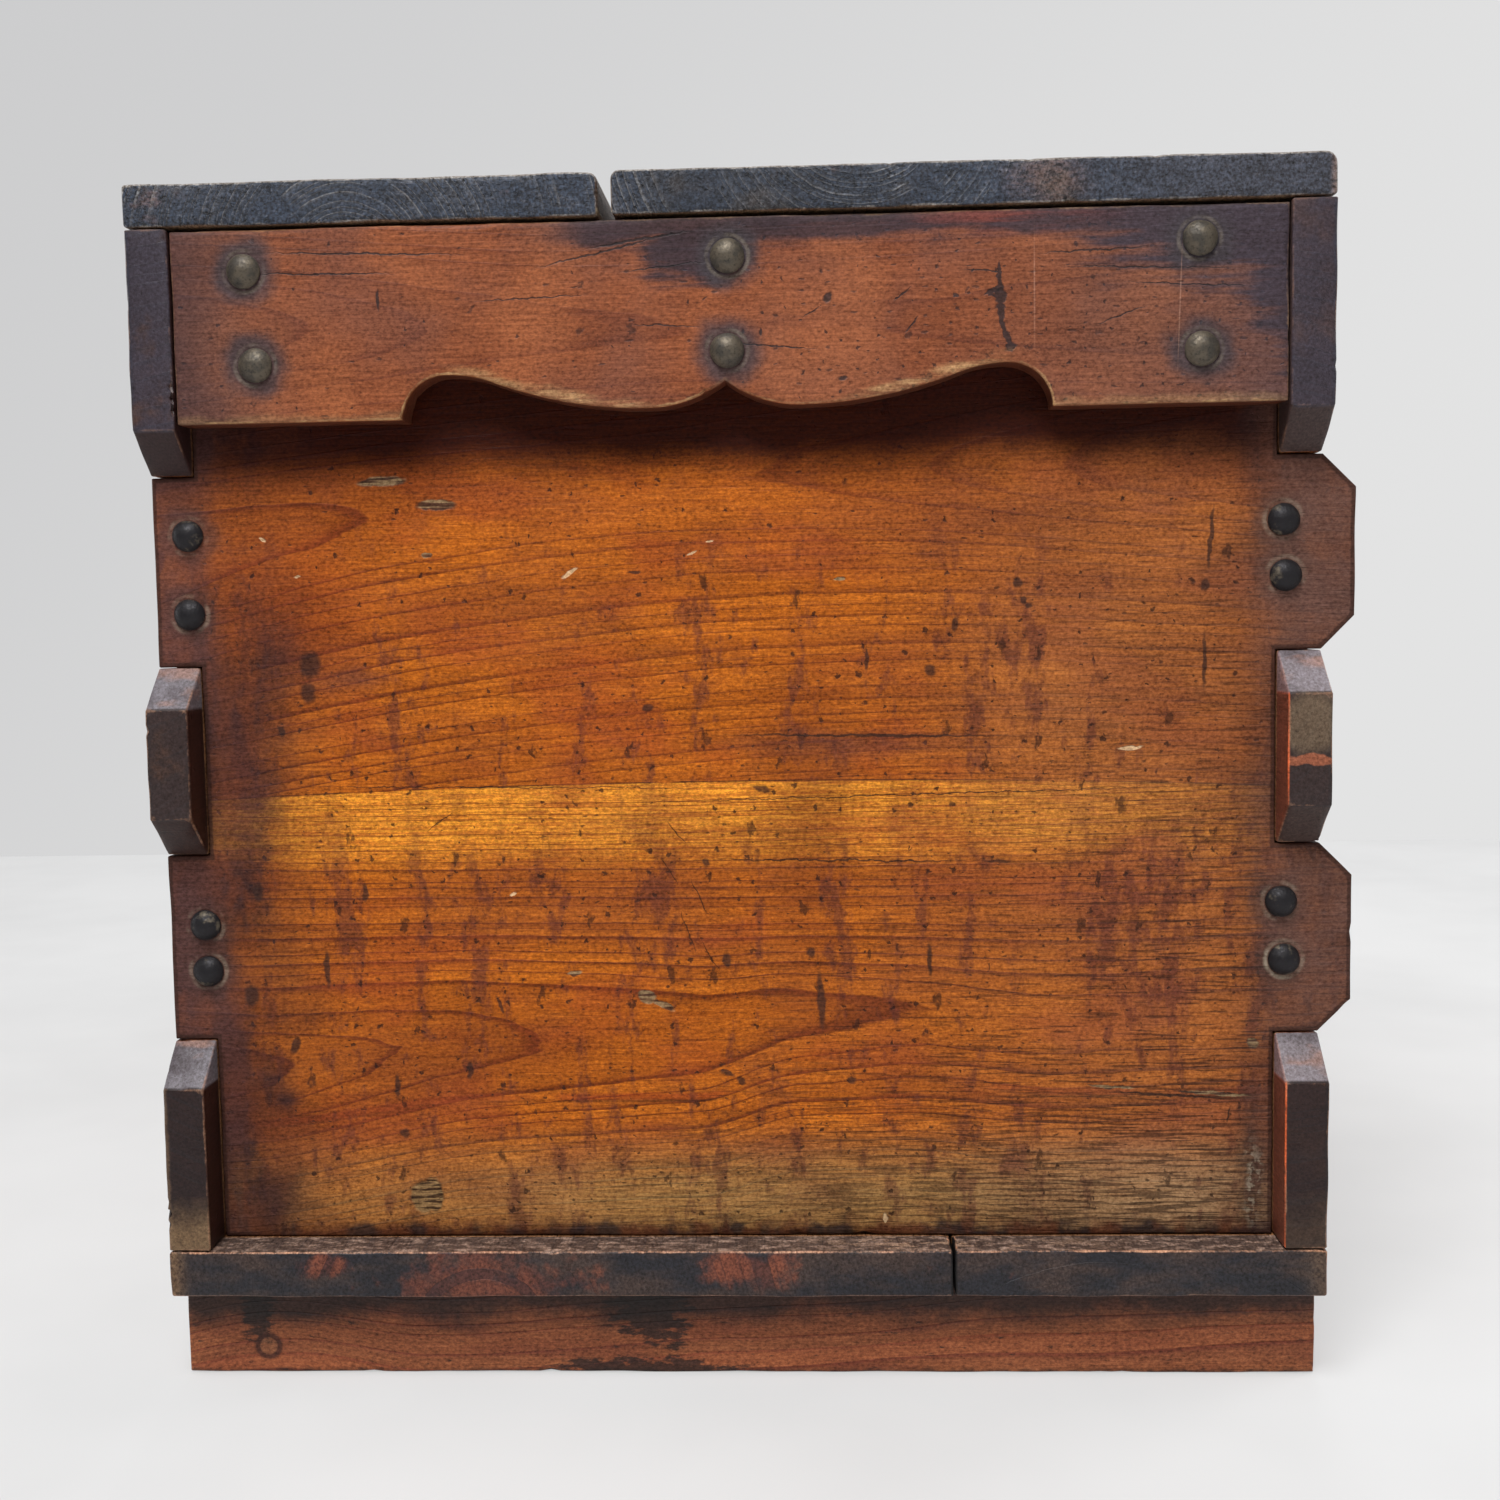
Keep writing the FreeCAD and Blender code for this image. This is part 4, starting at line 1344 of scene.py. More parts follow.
@dataclass(frozen=True)
class SideBoardFinish:
    """Front or back board: brown flat-sawn faces and sooty, worn fingers, with painted light and shade on
    the fingers' chamfers and inner faces. Studs are (y, z) in mm.
    """

    name: str
    outer_x: float
    studs: Places

    def build(self) -> Material:
        """Lays the finish's coats.

        Returns:
            The material.
        """
        t = TimberFinish(self.name)
        sign = 1 if self.outer_x > 0 else -1
        deep = t.both(t.minus(self.outer_x, t.x), sign)
        place = t.join(t.y, t.z, deep)
        late, tone, fibre = t.rings(place, Trunk(60 * sign, 250 + 60 * sign, 46, 0.02, -0.4, -0.5, 5.6, 16))
        tones = Tones((158, 88, 46), (104, 50, 28), (50, 38, 34), (168, 124, 96))
        t.timber(tones, late, tone, fibre)
        outer = t.step(deep, 2.5, 0.9)
        inner = t.step(deep, 15.5, 17)
        flat = t.join(t.y, t.z, 0)
        middle = t.ragged(t.y, t.z, 5, 16)
        cloud = t.step(t.cloudy(0.009, 4, 0.6), 0.4, 0.66)
        t.coat((104, 66, 48), cloud, 0.5)
        smudge, dashes = t.weathering(place, 0)
        t.coat((70, 42, 36), smudge, outer, 0.42)
        crowd = t.scaled(smudge, 0.5, 0.25)
        specks = t.most(t.specks(flat, 11, crowd, 1.2), t.both(t.specks(flat, 27, crowd, 2.8), 0.8))
        t.coat(tones.grime, t.most(specks, t.both(dashes, 0.8)), outer, 0.75)
        rubbed = t.both(t.marks(t.ragged(t.y, t.z, 40, 70),
                                [Mark(-60, 210, 150, 34), Mark(150, 330, 110, 26)], 1),
                        t.step(fibre, 0.4, 0.6, 0.5, 1))
        t.coat((188, 122, 74), rubbed, outer, 0.4)
        bounds = t.most(t.step(t.scaled(cloud, -18, t.z), 78, 58),
                        t.step(t.scaled(cloud, 18, t.z), 462, 482))
        t.coat((48, 38, 38), bounds, outer, 0.75)
        past = t.minus(t.size(t.y), END_FACE)
        tip = t.step(past, -0.9, 0.2)
        end = t.step(past, 15.4, 16.3)
        near_end = t.step(t.plus(past, t.both(t.cloudy(0.03, 3), 30)), -30, 8)
        t.coat((76, 58, 52), near_end, outer, 0.6)
        # Soot on every part of a finger that stands past the end board
        char = t.noise(t.vector("ADD", t.place, (0, 0, 11)), 0.045, 4, 0.62)
        board = t.colour
        t.colour = t.blend((48, 48, 58), (43, 37, 38), t.step(t.z, 392, 330))
        t.coat((21, 19, 23), t.step(t.z, 240, 140))
        t.coat((76, 54, 42), t.step(char, 0.5, 0.68), t.step(t.z, 130, 230, 0.45, 1),
               0.66 if sign < 0 else 0.3)
        t.coat((84, 74, 70), late, end, 0.06)
        near = t.step(t.y, 7 - TIP_FACE, 1 - TIP_FACE)
        if sign > 0:
            rough_place = t.ragged(t.x, t.z, 2.5, 8)
            olive = t.marks(rough_place, [Mark(224, 275, 14, 15)], 0.4)
            t.coat((104, 88, 70), olive, near, 0.8)
            stripe = t.marks(rough_place, [Mark(224.5, 260.5, 13, 2.3, -2)], 0.3)
            t.coat((160, 92, 64), stripe, near, 0.8)
        t.colour = t.blend(board, t.colour, t.both(tip, 0.95))
        # The fingers' inner faces: a bright orange of painted light on the front board and a dark brown of
        # painted shade on the back board
        inward = t.both(t.step(deep, 17, 17.6), tip, t.step(t.z, 384, 381))
        t.coat((236, 112, 64) if sign > 0 else (66, 43, 36), inward, t.step(fibre, 0.35, 0.65, 0.72, 1))
        # Chamfers facing up get a lighter blue-grey, part bleached wood and part painted light and sheen
        # from above; chamfers facing down get a dark brown of painted shade
        chamfer = t.both(tip, t.inverse(end))
        upward_lit = t.most(t.both(t.step(t.z, 128, 130), t.step(t.z, 147, 146)),
                        t.both(t.step(t.z, 286, 288), t.step(t.z, 305, 304)))
        bare = ((130, 121, 125), (96, 88, 92)) if sign > 0 else ((116, 110, 115), (85, 77, 81))
        t.coat(t.blend(*bare, t.step(char, 0.42, 0.64)), chamfer, upward_lit, 0.9)
        downward_shaded = t.both(chamfer, t.inverse(upward_lit))
        t.coat((62, 46, 41) if sign > 0 else (42, 20, 14), downward_shaded, 0.85)
        copper = t.both(chamfer, t.step(t.stretched(t.place, (0.05, 0.07, 0.12), 4), 0.52, 0.68))
        t.coat((158, 112, 90), copper, upward_lit, 0.5)
        foot = t.both(t.step(t.plus(t.z, t.both(char, -24)), 72, 54), end)
        t.coat((122, 96, 68), foot, 0.8 if sign < 0 else 0.15)
        if sign < 0:
            nibbled = t.both(t.step(t.scaled(char, 6, deep), 5.6, 4), end, t.step(t.z, 160, 140))
            t.coat((126, 98, 74), nibbled, 0.45)
        t.coat((58, 50, 48), t.step(t.nearest(middle, self.studs), 15, 9), outer, 0.6)
        t.coat((148, 116, 84), inner, t.inverse(tip), 0.5)
        t.coat(tones.worn, t.worn_edge(0.3, 1.25), t.step(t.z, 384, 378, 0.25, 0.42))
        rough = t.scaled(tip, -0.06, 0.52)
        relief = t.scaled(t.both(late, t.step(tip, 1, 0, 0.3, 1)), 0.2, t.both(fibre, 0.3))
        relief = t.minus(t.plus(relief, 0.3), t.both(specks, 0.2))
        return t.finish(rough, relief, 0.0006, 0, 0.25, t.step(tip, 0, 1, 3.2, 2.1))


@dataclass(frozen=True)
class TopFinish:
    """Charcoal top board whose end grain shows its rings as fine pale ridges."""

    name: str
    trunk: Trunk
    seam_x: float

    def build(self) -> Material:
        """Lays the finish's coats.

        Returns:
            The material.
        """
        t = TimberFinish(self.name)
        late, _, fibre = t.rings(t.grain_place(Grain.TOP), self.trunk)
        end = t.step(t.size(t.y), TIP_FACE - 1.4, TIP_FACE - 0.5)
        char = t.noise(t.vector("MULTIPLY", t.place, (1, 0.25, 1)), 0.02, 4, 0.6)
        t.colour = t.blend((60, 54, 52), (98, 70, 54), t.step(char, 0.42, 0.66))
        t.coat((40, 36, 37), late, 0.6)
        streak = t.step(fibre, 0.3, 0.7, 0.8, 1.2)
        t.colour = t.blend(t.colour, t.join(streak, streak, streak), 1, "MULTIPLY")
        t.coat((44, 44, 50), t.step(t.cloudy(0.012, 3, 0.6), 0.5, 0.68), 0.6)
        smudge, dashes = t.weathering(t.join(t.x, t.y, t.z), 0)
        t.coat((30, 27, 28), t.most(smudge, dashes), 0.5)
        rubbed = t.step(t.stretched(t.place, (0.09, 0.02, 0.09), 4, 0.7), 0.56, 0.68)
        t.coat((124, 96, 76), rubbed, 0.45)
        # End grain: grit everywhere, and rings that fade towards the lid's front edge
        top = t.colour
        t.colour = t.blend((49, 55, 67), (74, 67, 64),
                           t.step(t.cloudy(0.03, 3, 0.6), 0.54, 0.7))
        grit = t.stretched(t.place, (0.35, 0.35, 0.8), 4, 0.7)
        t.coat((24, 27, 33), t.step(grit, 0.5, 0.68), 0.6)
        t.coat((104, 100, 102), t.step(grit, 0.46, 0.3), 0.35)
        clear = t.both(t.step(t.cloudy(0.045, 3), 0.34, 0.54), t.step(t.x, 150, 80))
        t.coat((132, 128, 126), late, clear, t.step(t.x, -60, 20, 0.58, 0.44))
        t.coat((84, 80, 84), t.step(t.x, 110, 190), 0.3)
        t.coat((28, 30, 36), t.step(t.x, -70, -20), t.step(t.x, 110, 30), 0.4)
        blush = t.most(t.step(t.noise(t.vector("ADD", t.place, (0, 0, 40)), 0.035, 4, 0.65), 0.6, 0.7),
                       t.marks(t.ragged(t.x, t.z, 12, 20), [Mark(124, 490, 24, 14)], 0.8))
        t.coat((112, 84, 74), blush, t.step(grit, 0.4, 0.6, 0.5, 0.15))
        pits = t.specks(t.join(t.x, t.z, 0), 3.4, 0.35, 0.5)
        t.coat((28, 29, 33), pits, 0.75)
        t.coat((20, 18, 20), t.marks(t.ragged(t.x, t.z, 0.8, 3), [Mark(127.6, 481, 1.3, 2.6)], 0.4), 0.9)
        t.colour = t.blend(top, t.colour, end)
        t.coat((112, 84, 60), t.step(t.z, 481.4, 480.8), t.inverse(end), 0.7)
        # The slot's sides stayed brown, and their lower edges are worn pale
        slot = t.step(t.size(t.minus(t.x, self.seam_x)), 1, 0.5)
        slot_tone = t.blend((84, 62, 46), (178, 154, 122), t.step(t.z, 484.5, 482))
        t.coat(slot_tone, slot, 0.8)
        # The lid's front corner is rubbed pale and pitted
        corner = t.both(t.step(t.scaled(char, 5, t.x), 232, 235), t.step(grit, 0.6, 0.5, 0.25, 1))
        t.coat((150, 124, 112), corner, end, 0.55)
        crest = t.step(t.z, 494.5, 496.5)
        worn = t.most(t.worn_edge(0.3, 0.9), t.both(t.worn_edge(0.52, 0.7), crest))
        t.coat((166, 156, 146), worn, 0.6)
        relief = t.scaled(t.both(late, clear), 0.4, t.both(fibre, 0.25))
        relief = t.minus(t.plus(relief, 0.4), t.both(t.most(pits, t.step(grit, 0.5, 0.72)), 0.4))
        return t.finish(0.5, relief, 0.0008, 0, 0.3, 4.2)


@dataclass(frozen=True)
class FloorFinish:
    """Floor board: sooty end grain with red patches, and plain aged faces."""

    name: str
    trunk: Trunk

    def build(self) -> Material:
        """Lays the finish's coats.

        Returns:
            The material.
        """
        t = TimberFinish(self.name)
        late, tone, fibre = t.rings(t.grain_place(Grain.TOP), self.trunk)
        tones = Tones((150, 104, 68), (108, 68, 42), (40, 34, 32), (206, 150, 116))
        t.timber(tones, late, tone, fibre)
        past = t.minus(t.size(t.y), END_FACE)
        lip = t.step(past, -0.5, 0.5)
        end = t.step(past, 15.4, 16.4)
        smoke = t.stretched(t.place, (0.022, 0.03, 0.06), 4, 0.6)
        board = t.colour
        t.colour = t.blend((35, 34, 39), (64, 50, 45), t.step(smoke, 0.42, 0.62))
        # Red wood shows through the soot in two places
        spread = t.scaled(t.cloudy(0.07, 4, 0.65), 2.4, -1.2)
        field = t.marks(t.join(t.x, t.z, 0),
                        [Mark(-114, 46, 80, 28), Mark(-7, 52, 38, 18), Mark(-181, 54, 24, 9)], 1)
        red = t.step(t.plus(field, spread), 0.34, 0.95)
        swirl = t.most(t.step(tone, 0.3, 0.9), t.both(late, 0.6))
        t.coat(t.blend((132, 70, 46), (82, 43, 34), swirl), red, 0.74)
        corner = t.most(t.step(t.scaled(smoke, 14, t.x), -230, -240),
                        t.both(t.step(t.scaled(smoke, 16, t.x), 226, 240), 0.4))
        t.coat((124, 94, 66), corner, 0.75)
        t.colour = t.blend(board, t.colour, end)
        upper = t.both(lip, t.inverse(end))
        gritty = t.stretched(t.place, (0.12, 0.3, 0.3), 4, 0.7)
        t.coat(t.blend((64, 55, 53), (150, 126, 112), t.step(gritty, 0.46, 0.66)), upper, 0.9)
        edge = t.most(t.step(t.x, 231.5, 232.9), t.step(t.x, -245, -246.4))
        t.coat((66, 52, 46), edge, t.step(t.cloudy(0.014, 4, 0.6), 0.4, 0.62, 0.5, 0.9))
        t.coat(tones.worn, t.worn_edge(0.36, 0.8), t.most(lip, edge), t.step(t.z, 45, 58, 0.2, 0.8))
        # The seam has opened to a crack, with pale chips beside it
        shake = t.scaled(t.cloudy(0.12, 3), 3, -1.5)
        from_seam = t.size(t.minus(t.plus(t.x, t.both(shake, upper)), FLOOR_SEAM))
        chips = t.both(t.step(from_seam, 90, 3),
                       t.step(t.stretched(t.place, (0.07, 0.16, 0.16), 4, 0.65), 0.52, 0.58), upper)
        t.coat((158, 128, 106), chips, 0.8)
        t.coat((16, 13, 13), t.step(from_seam, 1.7, 0.9), lip)
        relief = t.scaled(chips, 0.3, t.scaled(late, 0.3, t.both(fibre, 0.3)))
        return t.finish(0.5, relief, 0.0006, 0, 0.3, 3.6)


@dataclass(frozen=True)
class PlinthFinish:
    """Plinth rail: red and orange-brown wood, darker towards its top under the floor's lip, with a knot and
    a painted contact shadow along its foot.
    """

    name: str
    lengthwise: bool

    def build(self) -> Material:
        """Lays the finish's coats.

        Returns:
            The material.
        """
        t = TimberFinish(self.name)
        place = t.grain_place(Grain.SIDE if self.lengthwise else Grain.END_PANEL)
        along, up, deep = t.split(place)
        knot = t.vector("DISTANCE", t.join(along, up, 0), (-211.7, 11.7, 0))
        swerve = t.both(t.step(knot, 70, 6), 9)
        place = t.join(along, t.minus(up, swerve), deep)
        late, tone, fibre = t.rings(place,
                                    Trunk(0, -14, -330 if not self.lengthwise else 200, 0.05, 0, 0, 5.5, 16))
        tones = Tones((150, 88, 54), (112, 50, 34), (50, 38, 34), (176, 122, 88))
        t.timber(tones, late, tone, fibre)
        cloud = t.stretched(place, (0.012, 0.06, 0.06), 4, 0.6)
        t.coat((112, 54, 38), t.step(cloud, 0.5, 0.66), 0.5)
        t.coat((166, 88, 52), t.step(tone, 0.5, 0.9), 0.35)
        # Darker towards the top, under the floor's lip
        smoke = t.scaled(t.cloudy(0.05, 4, 0.6), -22, t.z)
        t.coat((31, 28, 28), t.step(smoke, 6, 20), 0.88)
        # Painted contact shadow: a dark band along the rail's foot where it stands on the floor
        t.coat((38, 30, 26), t.step(t.plus(t.z, t.both(t.cloudy(0.16, 3), 5)), 5, 2.5), 0.75)
        spread = t.scaled(t.stretched(place, (0.1, 0.3, 0.3), 4, 0.7), 2.6, -1.3)
        field = t.marks(t.ragged(t.x, t.z, 5, 12),
                        [Mark(-46, 27, 30, 24, -20), Mark(-52, 0, 72, 11), Mark(-216, 26, 11, 22)], 1)
        t.coat((34, 30, 29), t.step(t.plus(field, spread), 0.25, 0.6), 0.85)
        t.coat((66, 36, 28), t.step(knot, 3.2, 4), t.step(knot, 6.6, 5.2), 0.85)
        t.coat((140, 92, 62), t.step(knot, 4.2, 3.4), 0.6)
        t.coat(tones.worn, t.worn_edge(0.3, 1), 0.4)
        relief = t.scaled(late, 0.25, t.both(fibre, 0.3))
        return t.finish(0.52, relief, 0.0006, 0, 0.25, 2.6)


@dataclass(frozen=True)
class RawFinish:
    """Plain sawn wood of the hidden rail and battens, aged but never finished."""

    name: str
    grain: Grain

    def build(self) -> Material:
        """Lays the finish's coats.

        Returns:
            The material.
        """
        t = TimberFinish(self.name)
        late, tone, fibre = t.rings(t.grain_place(self.grain), Trunk(0, 400, 520, 0.01, 0.2, 0.2, 3.6, 12))
        tones = Tones((168, 124, 84), (126, 84, 52), (70, 52, 42), (190, 152, 112))
        t.timber(tones, late, tone, fibre)
        t.coat((112, 84, 62), t.step(t.cloudy(0.012, 4, 0.6), 0.42, 0.68), 0.5)
        t.coat(tones.grime, t.specks(t.join(t.x, t.y, 0), 12, 0.25, 0.9), 0.5)
        t.coat(tones.worn, t.worn_edge(0.6, 0.8), 0.4)
        relief = t.scaled(late, 0.25, t.both(fibre, 0.4))
        return t.finish(0.62, relief, 0.0006, 0, 0.3)


@dataclass(frozen=True)
class IronFinish:
    """Dark forged iron, burnished on its high spots and rusty in places."""

    name: str
    rust: float

    def build(self) -> Material:
        """Lays the finish's coats.

        Returns:
            The material.
        """
        t = TimberFinish(self.name)
        blotch = t.cloudy(0.16, 4, 0.6)
        dark = (34, 32, 35) if self.rust < 0.5 else (74, 69, 62)
        t.colour = t.blend(dark, (96, 87, 74),
                           t.step(blotch, 0.62 - self.rust * 0.3, 0.72 - self.rust * 0.2))
        grain = t.cloudy(0.9, 4, 0.65)
        t.coat((40, 38, 36), t.step(grain, 0.5, 0.7), 0.6)
        rough = t.scaled(t.step(grain, 0.35, 0.7), 0.22, 0.42)
        relief = t.scaled(grain, 0.6, t.both(blotch, 0.4))
        return t.finish(rough, relief, 0.00035, 0.5, 0.4)


# Sub-assemblies


def dress(piece: bpy.types.Object, material: Material, node: str, body: str) -> None:
    """Gives a piece its material, slot and body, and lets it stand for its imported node.

    Args:
        piece: The new piece.
        material: Its finish.
        node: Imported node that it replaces.
        body: Body that it rides on.
    """
    piece.data.materials.append(material)
    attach(piece, body)
    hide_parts(node)
    log.info("%s: %d faces on %s", piece.name, len(piece.data.polygons), body)


def in_millimetres(places: Sequence[Vector], first: int, second: int, sign: float = 1.0) -> list[Place]:
    """Two of the coordinates of some places, in millimetres."""
    return [(place[first] * 1000 * sign, place[second] * 1000) for place in places]


@dataclass
class Assembly:
    """Boards of one sub-assembly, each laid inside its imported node."""

    sizes: Carcase
    wear: Wear = Wear()

    def lay(self, node: str, outline: Places | None, run: Run, shift: int,
            finish: Material, slot: str, body: str = "chest") -> None:
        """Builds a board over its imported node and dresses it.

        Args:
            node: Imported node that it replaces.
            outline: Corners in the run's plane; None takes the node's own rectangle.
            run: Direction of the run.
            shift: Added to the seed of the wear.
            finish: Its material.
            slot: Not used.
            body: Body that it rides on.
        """
        low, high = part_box(node)
        first, second = run.plane
        corners = outline or rectangle((low[first], low[second]), (high[first], high[second]))
        wear = replace(self.wear, seed=self.wear.seed + shift)
        shell = board_shell(corners, low[run.carried], high[run.carried], run, wear)
        dress(mesh_piece(node + "_timber", [shell]), finish, node, body)


@dataclass
class EndWalls(Assembly):
    """The two end boards, whose fingers stand proud at the front and lie flush at the back."""

    comb: Comb = Comb()
    wear: Wear = Wear(seed=11)

    def outline(self) -> list[Place]:
        """Outline of an end board.

        Returns:
            Corners as (x, z).
        """
        s = self.sizes
        levels = self.comb.levels(s.floor_top, s.wall_top)
        owned = range(1, len(levels), 2)
        front = self.comb.edge(levels, owned, s.front_inner, s.front_face, s.end_front_tip)
        back = self.comb.edge(levels, owned, s.back_inner, s.back_face, s.back_face)
        return without_repeats(back + front[::-1])

    def build(self) -> None:
        """Builds and dresses both boards."""
        for side in Side:
            name = side.name.lower()
            studs = nail_places(f"end_studs_{name}", Vector((0, side.value, 0)))
            finish = EndPanelFinish(side, in_millimetres(studs, 0, 2, -side.value)).build()
            self.lay(f"end_board_{name}", self.outline(), Run.LENGTHWISE, side.value, finish, "end_wood")


@dataclass
class SideWalls(Assembly):
    """The front and back boards, whose chamfered fingers pass the end boards."""

    comb: Comb = Comb()
    wear: Wear = Wear(eaten=0.35 * MM, bites=2 * MM, bite_size=17 * MM, step=2.4 * MM, pitch=3 * MM,
                      seed=23)

    def outline(self) -> list[Place]:
        """Outline of a side board.

        Returns:
            Corners as (y, z).
        """
        s = self.sizes
        levels = self.comb.levels(s.floor_top, s.wall_top)
        near = self.comb.edge(levels, range(0, len(levels), 2), s.near_inner, s.near_face, s.near_tip)
        return without_repeats(near + [(-reach, height) for reach, height in reversed(near)])

    def build(self) -> None:
        """Builds and dresses both boards."""
        s = self.sizes
        for name, nails, outer, outward in (("front_board", "front_studs", s.front_face, 1),
                                            ("back_board", "back_nails", s.back_face, -1)):
            studs = in_millimetres(nail_places(nails, Vector((outward, 0, 0))), 1, 2)
            finish = SideBoardFinish(name, outer * 1000, studs).build()
            self.lay(name, self.outline(), Run.ACROSS, outward, finish, "side_wood")


@dataclass
class Aprons(Assembly):
    """Scalloped boards across both ends, between the top fingers."""

    scallop: Scallop = Scallop()
    wear: Wear = Wear(seed=31, eaten=0.3 * MM, corner=0.8 * MM)

    def outline(self) -> list[Place]:
        """Outline of an apron, with its curved lower edge.

        Returns:
            Points as (x, z).
        """
        s = self.sizes
        half = self.scallop.half()
        right = half + np.array([s.middle, s.apron_flat])
        left = half[::-1] * np.array([-1, 1]) + np.array([s.middle, s.apron_flat])
        corners = [(s.front_inner, s.apron_flat), (s.front_inner, s.apron_top),
                   (s.back_inner, s.apron_top), (s.back_inner, s.apron_flat)]
        return [tuple(point) for point in np.concatenate([left, right[1:], corners])]

    def build(self) -> None:
        """Builds and dresses both aprons."""
        for side in Side:
            name = side.name.lower()
            studs = nail_places(f"apron_studs_{name}", Vector((0, side.value, 0)))
            finish = ApronFinish(side, in_millimetres(studs, 0, 2, -side.value)).build()
            self.lay(f"apron_{name}", self.outline(), Run.LENGTHWISE, side.value, finish, "apron_wood")


@dataclass
class TopBoards(Assembly):
    """The fixed top board and the lift-off lid, with a slot between them."""

    seam_round: float = 3.5 * MM
    lid_round: float = 5 * MM
    wear: Wear = Wear(eaten=0.4 * MM, bites=1.5 * MM, bite_size=20 * MM, corner=1.8 * MM,
                      step=2.6 * MM, seed=41)

    def outline(self, low: Vector, high: Vector, seam_x: float) -> list[Place]:
        """Section of a board as (x, z), rounded at the slot and at the lid's front edge.

        Args:
            low: Lowest corner of the board.
            high: Highest corner.
            seam_x: Which side faces the slot.

        Returns:
            Corners of the section.
        """
        turns = np.linspace(0, math.pi / 2, 6)
        radius = self.seam_round if seam_x == high.x else self.lid_round
        right = [(high.x - radius * (1 - math.cos(a)), high.z - radius * (1 - math.sin(a))) for a in turns]
        left = [(low.x, high.z)]
        if seam_x == low.x:
            radius = self.seam_round
            left = [(low.x + radius * (1 - math.cos(a)), high.z - radius * (1 - math.sin(a)))
                    for a in turns[::-1]]
        return [(high.x, low.z)] + right + left + [(low.x, low.z)]

    def build(self) -> None:
        """Builds and dresses both boards."""
        boards = (("top_board_fixed", 1, "chest", Trunk(0, -156, 461, 0.01, 0.2, 0.3, 2.3, 5)),
                  ("lid_board", 0, "lid", Trunk(0, 40, 518, -0.01, 0.3, 0.2, 2.4, 6)))
        for i, (node, seam_end, body, trunk) in enumerate(boards):
            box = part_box(node)
            seam_x = box[seam_end].x
            finish = TopFinish(node, trunk, seam_x * 1000).build()
            self.lay(node, self.outline(*box, seam_x), Run.LENGTHWISE, i, finish, "top_wood", body)


@dataclass
class Floor(Assembly):
    """The wide and the narrow floor board, whose ends show under the end boards."""

    wear: Wear = Wear(seed=53, eaten=0.4 * MM, corner=1.4 * MM)

    def build(self) -> None:
        """Builds and dresses both boards."""
        boards = (("floor_board_wide", Trunk(0, -115, 22, 0.01, 0.2, 0.1, 5, 9)),
                  ("floor_board_narrow", Trunk(0, 150, -60, 0.01, 0.2, 0.1, 5, 9)))
        for i, (node, trunk) in enumerate(boards):
            finish = FloorFinish(node, trunk).build()
            self.lay(node, None, Run.LENGTHWISE, i, finish, "floor_wood")


@dataclass
class Plinth(Assembly):
    """The four rails that the floor stands on."""

    wear: Wear = Wear(seed=61)

    def build(self) -> None:
        """Builds and dresses the rails."""
        for i, place in enumerate(("near", "far", "front", "back")):
            node = f"plinth_rail_{place}"
            run = Run.LENGTHWISE if i < 2 else Run.ACROSS
            finish = PlinthFinish(node, run is Run.ACROSS).build()
            self.lay(node, None, run, i, finish, "plinth_wood")


@dataclass
class InnerTimber(Assembly):
    """The rail under the slot and the lid's two battens."""

    wear: Wear = Wear(seed=71)

    def build(self) -> None:
        """Builds and dresses the rail and the battens."""
        pieces = (("seam_rail", "chest", Run.LENGTHWISE, Grain.TOP),
                  ("lid_batten_near", "lid", Run.ACROSS, Grain.END_PANEL),
                  ("lid_batten_far", "lid", Run.ACROSS, Grain.END_PANEL))
        for i, (node, body, run, grain) in enumerate(pieces):
            self.lay(node, None, run, i, RawFinish(node, grain).build(), "inner_wood", body)


@dataclass
class Ironwork:
    """All the domed studs and flush nails, one piece for each packed group."""

    seed: int = 83

    def build(self) -> None:
        """Builds and dresses every group of nails."""
        dark = IronFinish("forged_iron_dark", 0.25).build()
        brown = IronFinish("forged_iron_brown", 0.8).build()
        groups = (("end_studs_near", (0, -1, 0), DomedStud(45 * MM), dark, "chest"),
                  ("end_studs_far", (0, 1, 0), DomedStud(45 * MM), dark, "chest"),
                  ("apron_studs_near", (0, -1, 0), DomedStud(30 * MM, radius=6.9 * MM), brown, "chest"),
                  ("apron_studs_far", (0, 1, 0), DomedStud(30 * MM, radius=6.9 * MM), brown, "chest"),
                  ("front_studs", (1, 0, 0), DomedStud(45 * MM), dark, "chest"),
                  ("back_nails", (-1, 0, 0), FlushNail(45 * MM), dark, "chest"),
                  ("top_nails", (0, 0, 1), FlushNail(36 * MM), dark, "chest"),
                  ("floor_nails", (0, 0, -1), FlushNail(50 * MM), dark, "chest"),
                  ("plinth_nails", (0, 0, -1), FlushNail(55 * MM), dark, "chest"),
                  ("lid_nails", (0, 0, 1), FlushNail(31 * MM), dark, "lid"))
        rng = np.random.default_rng(self.seed)
        for node, direction, nail, finish, body in groups:
            outward = Vector(direction)
            shells = [nail.at(place, outward, rng) for place in nail_places(node, outward)]
            dress(mesh_piece(node + "_iron", shells, 50.0), finish, node, body)


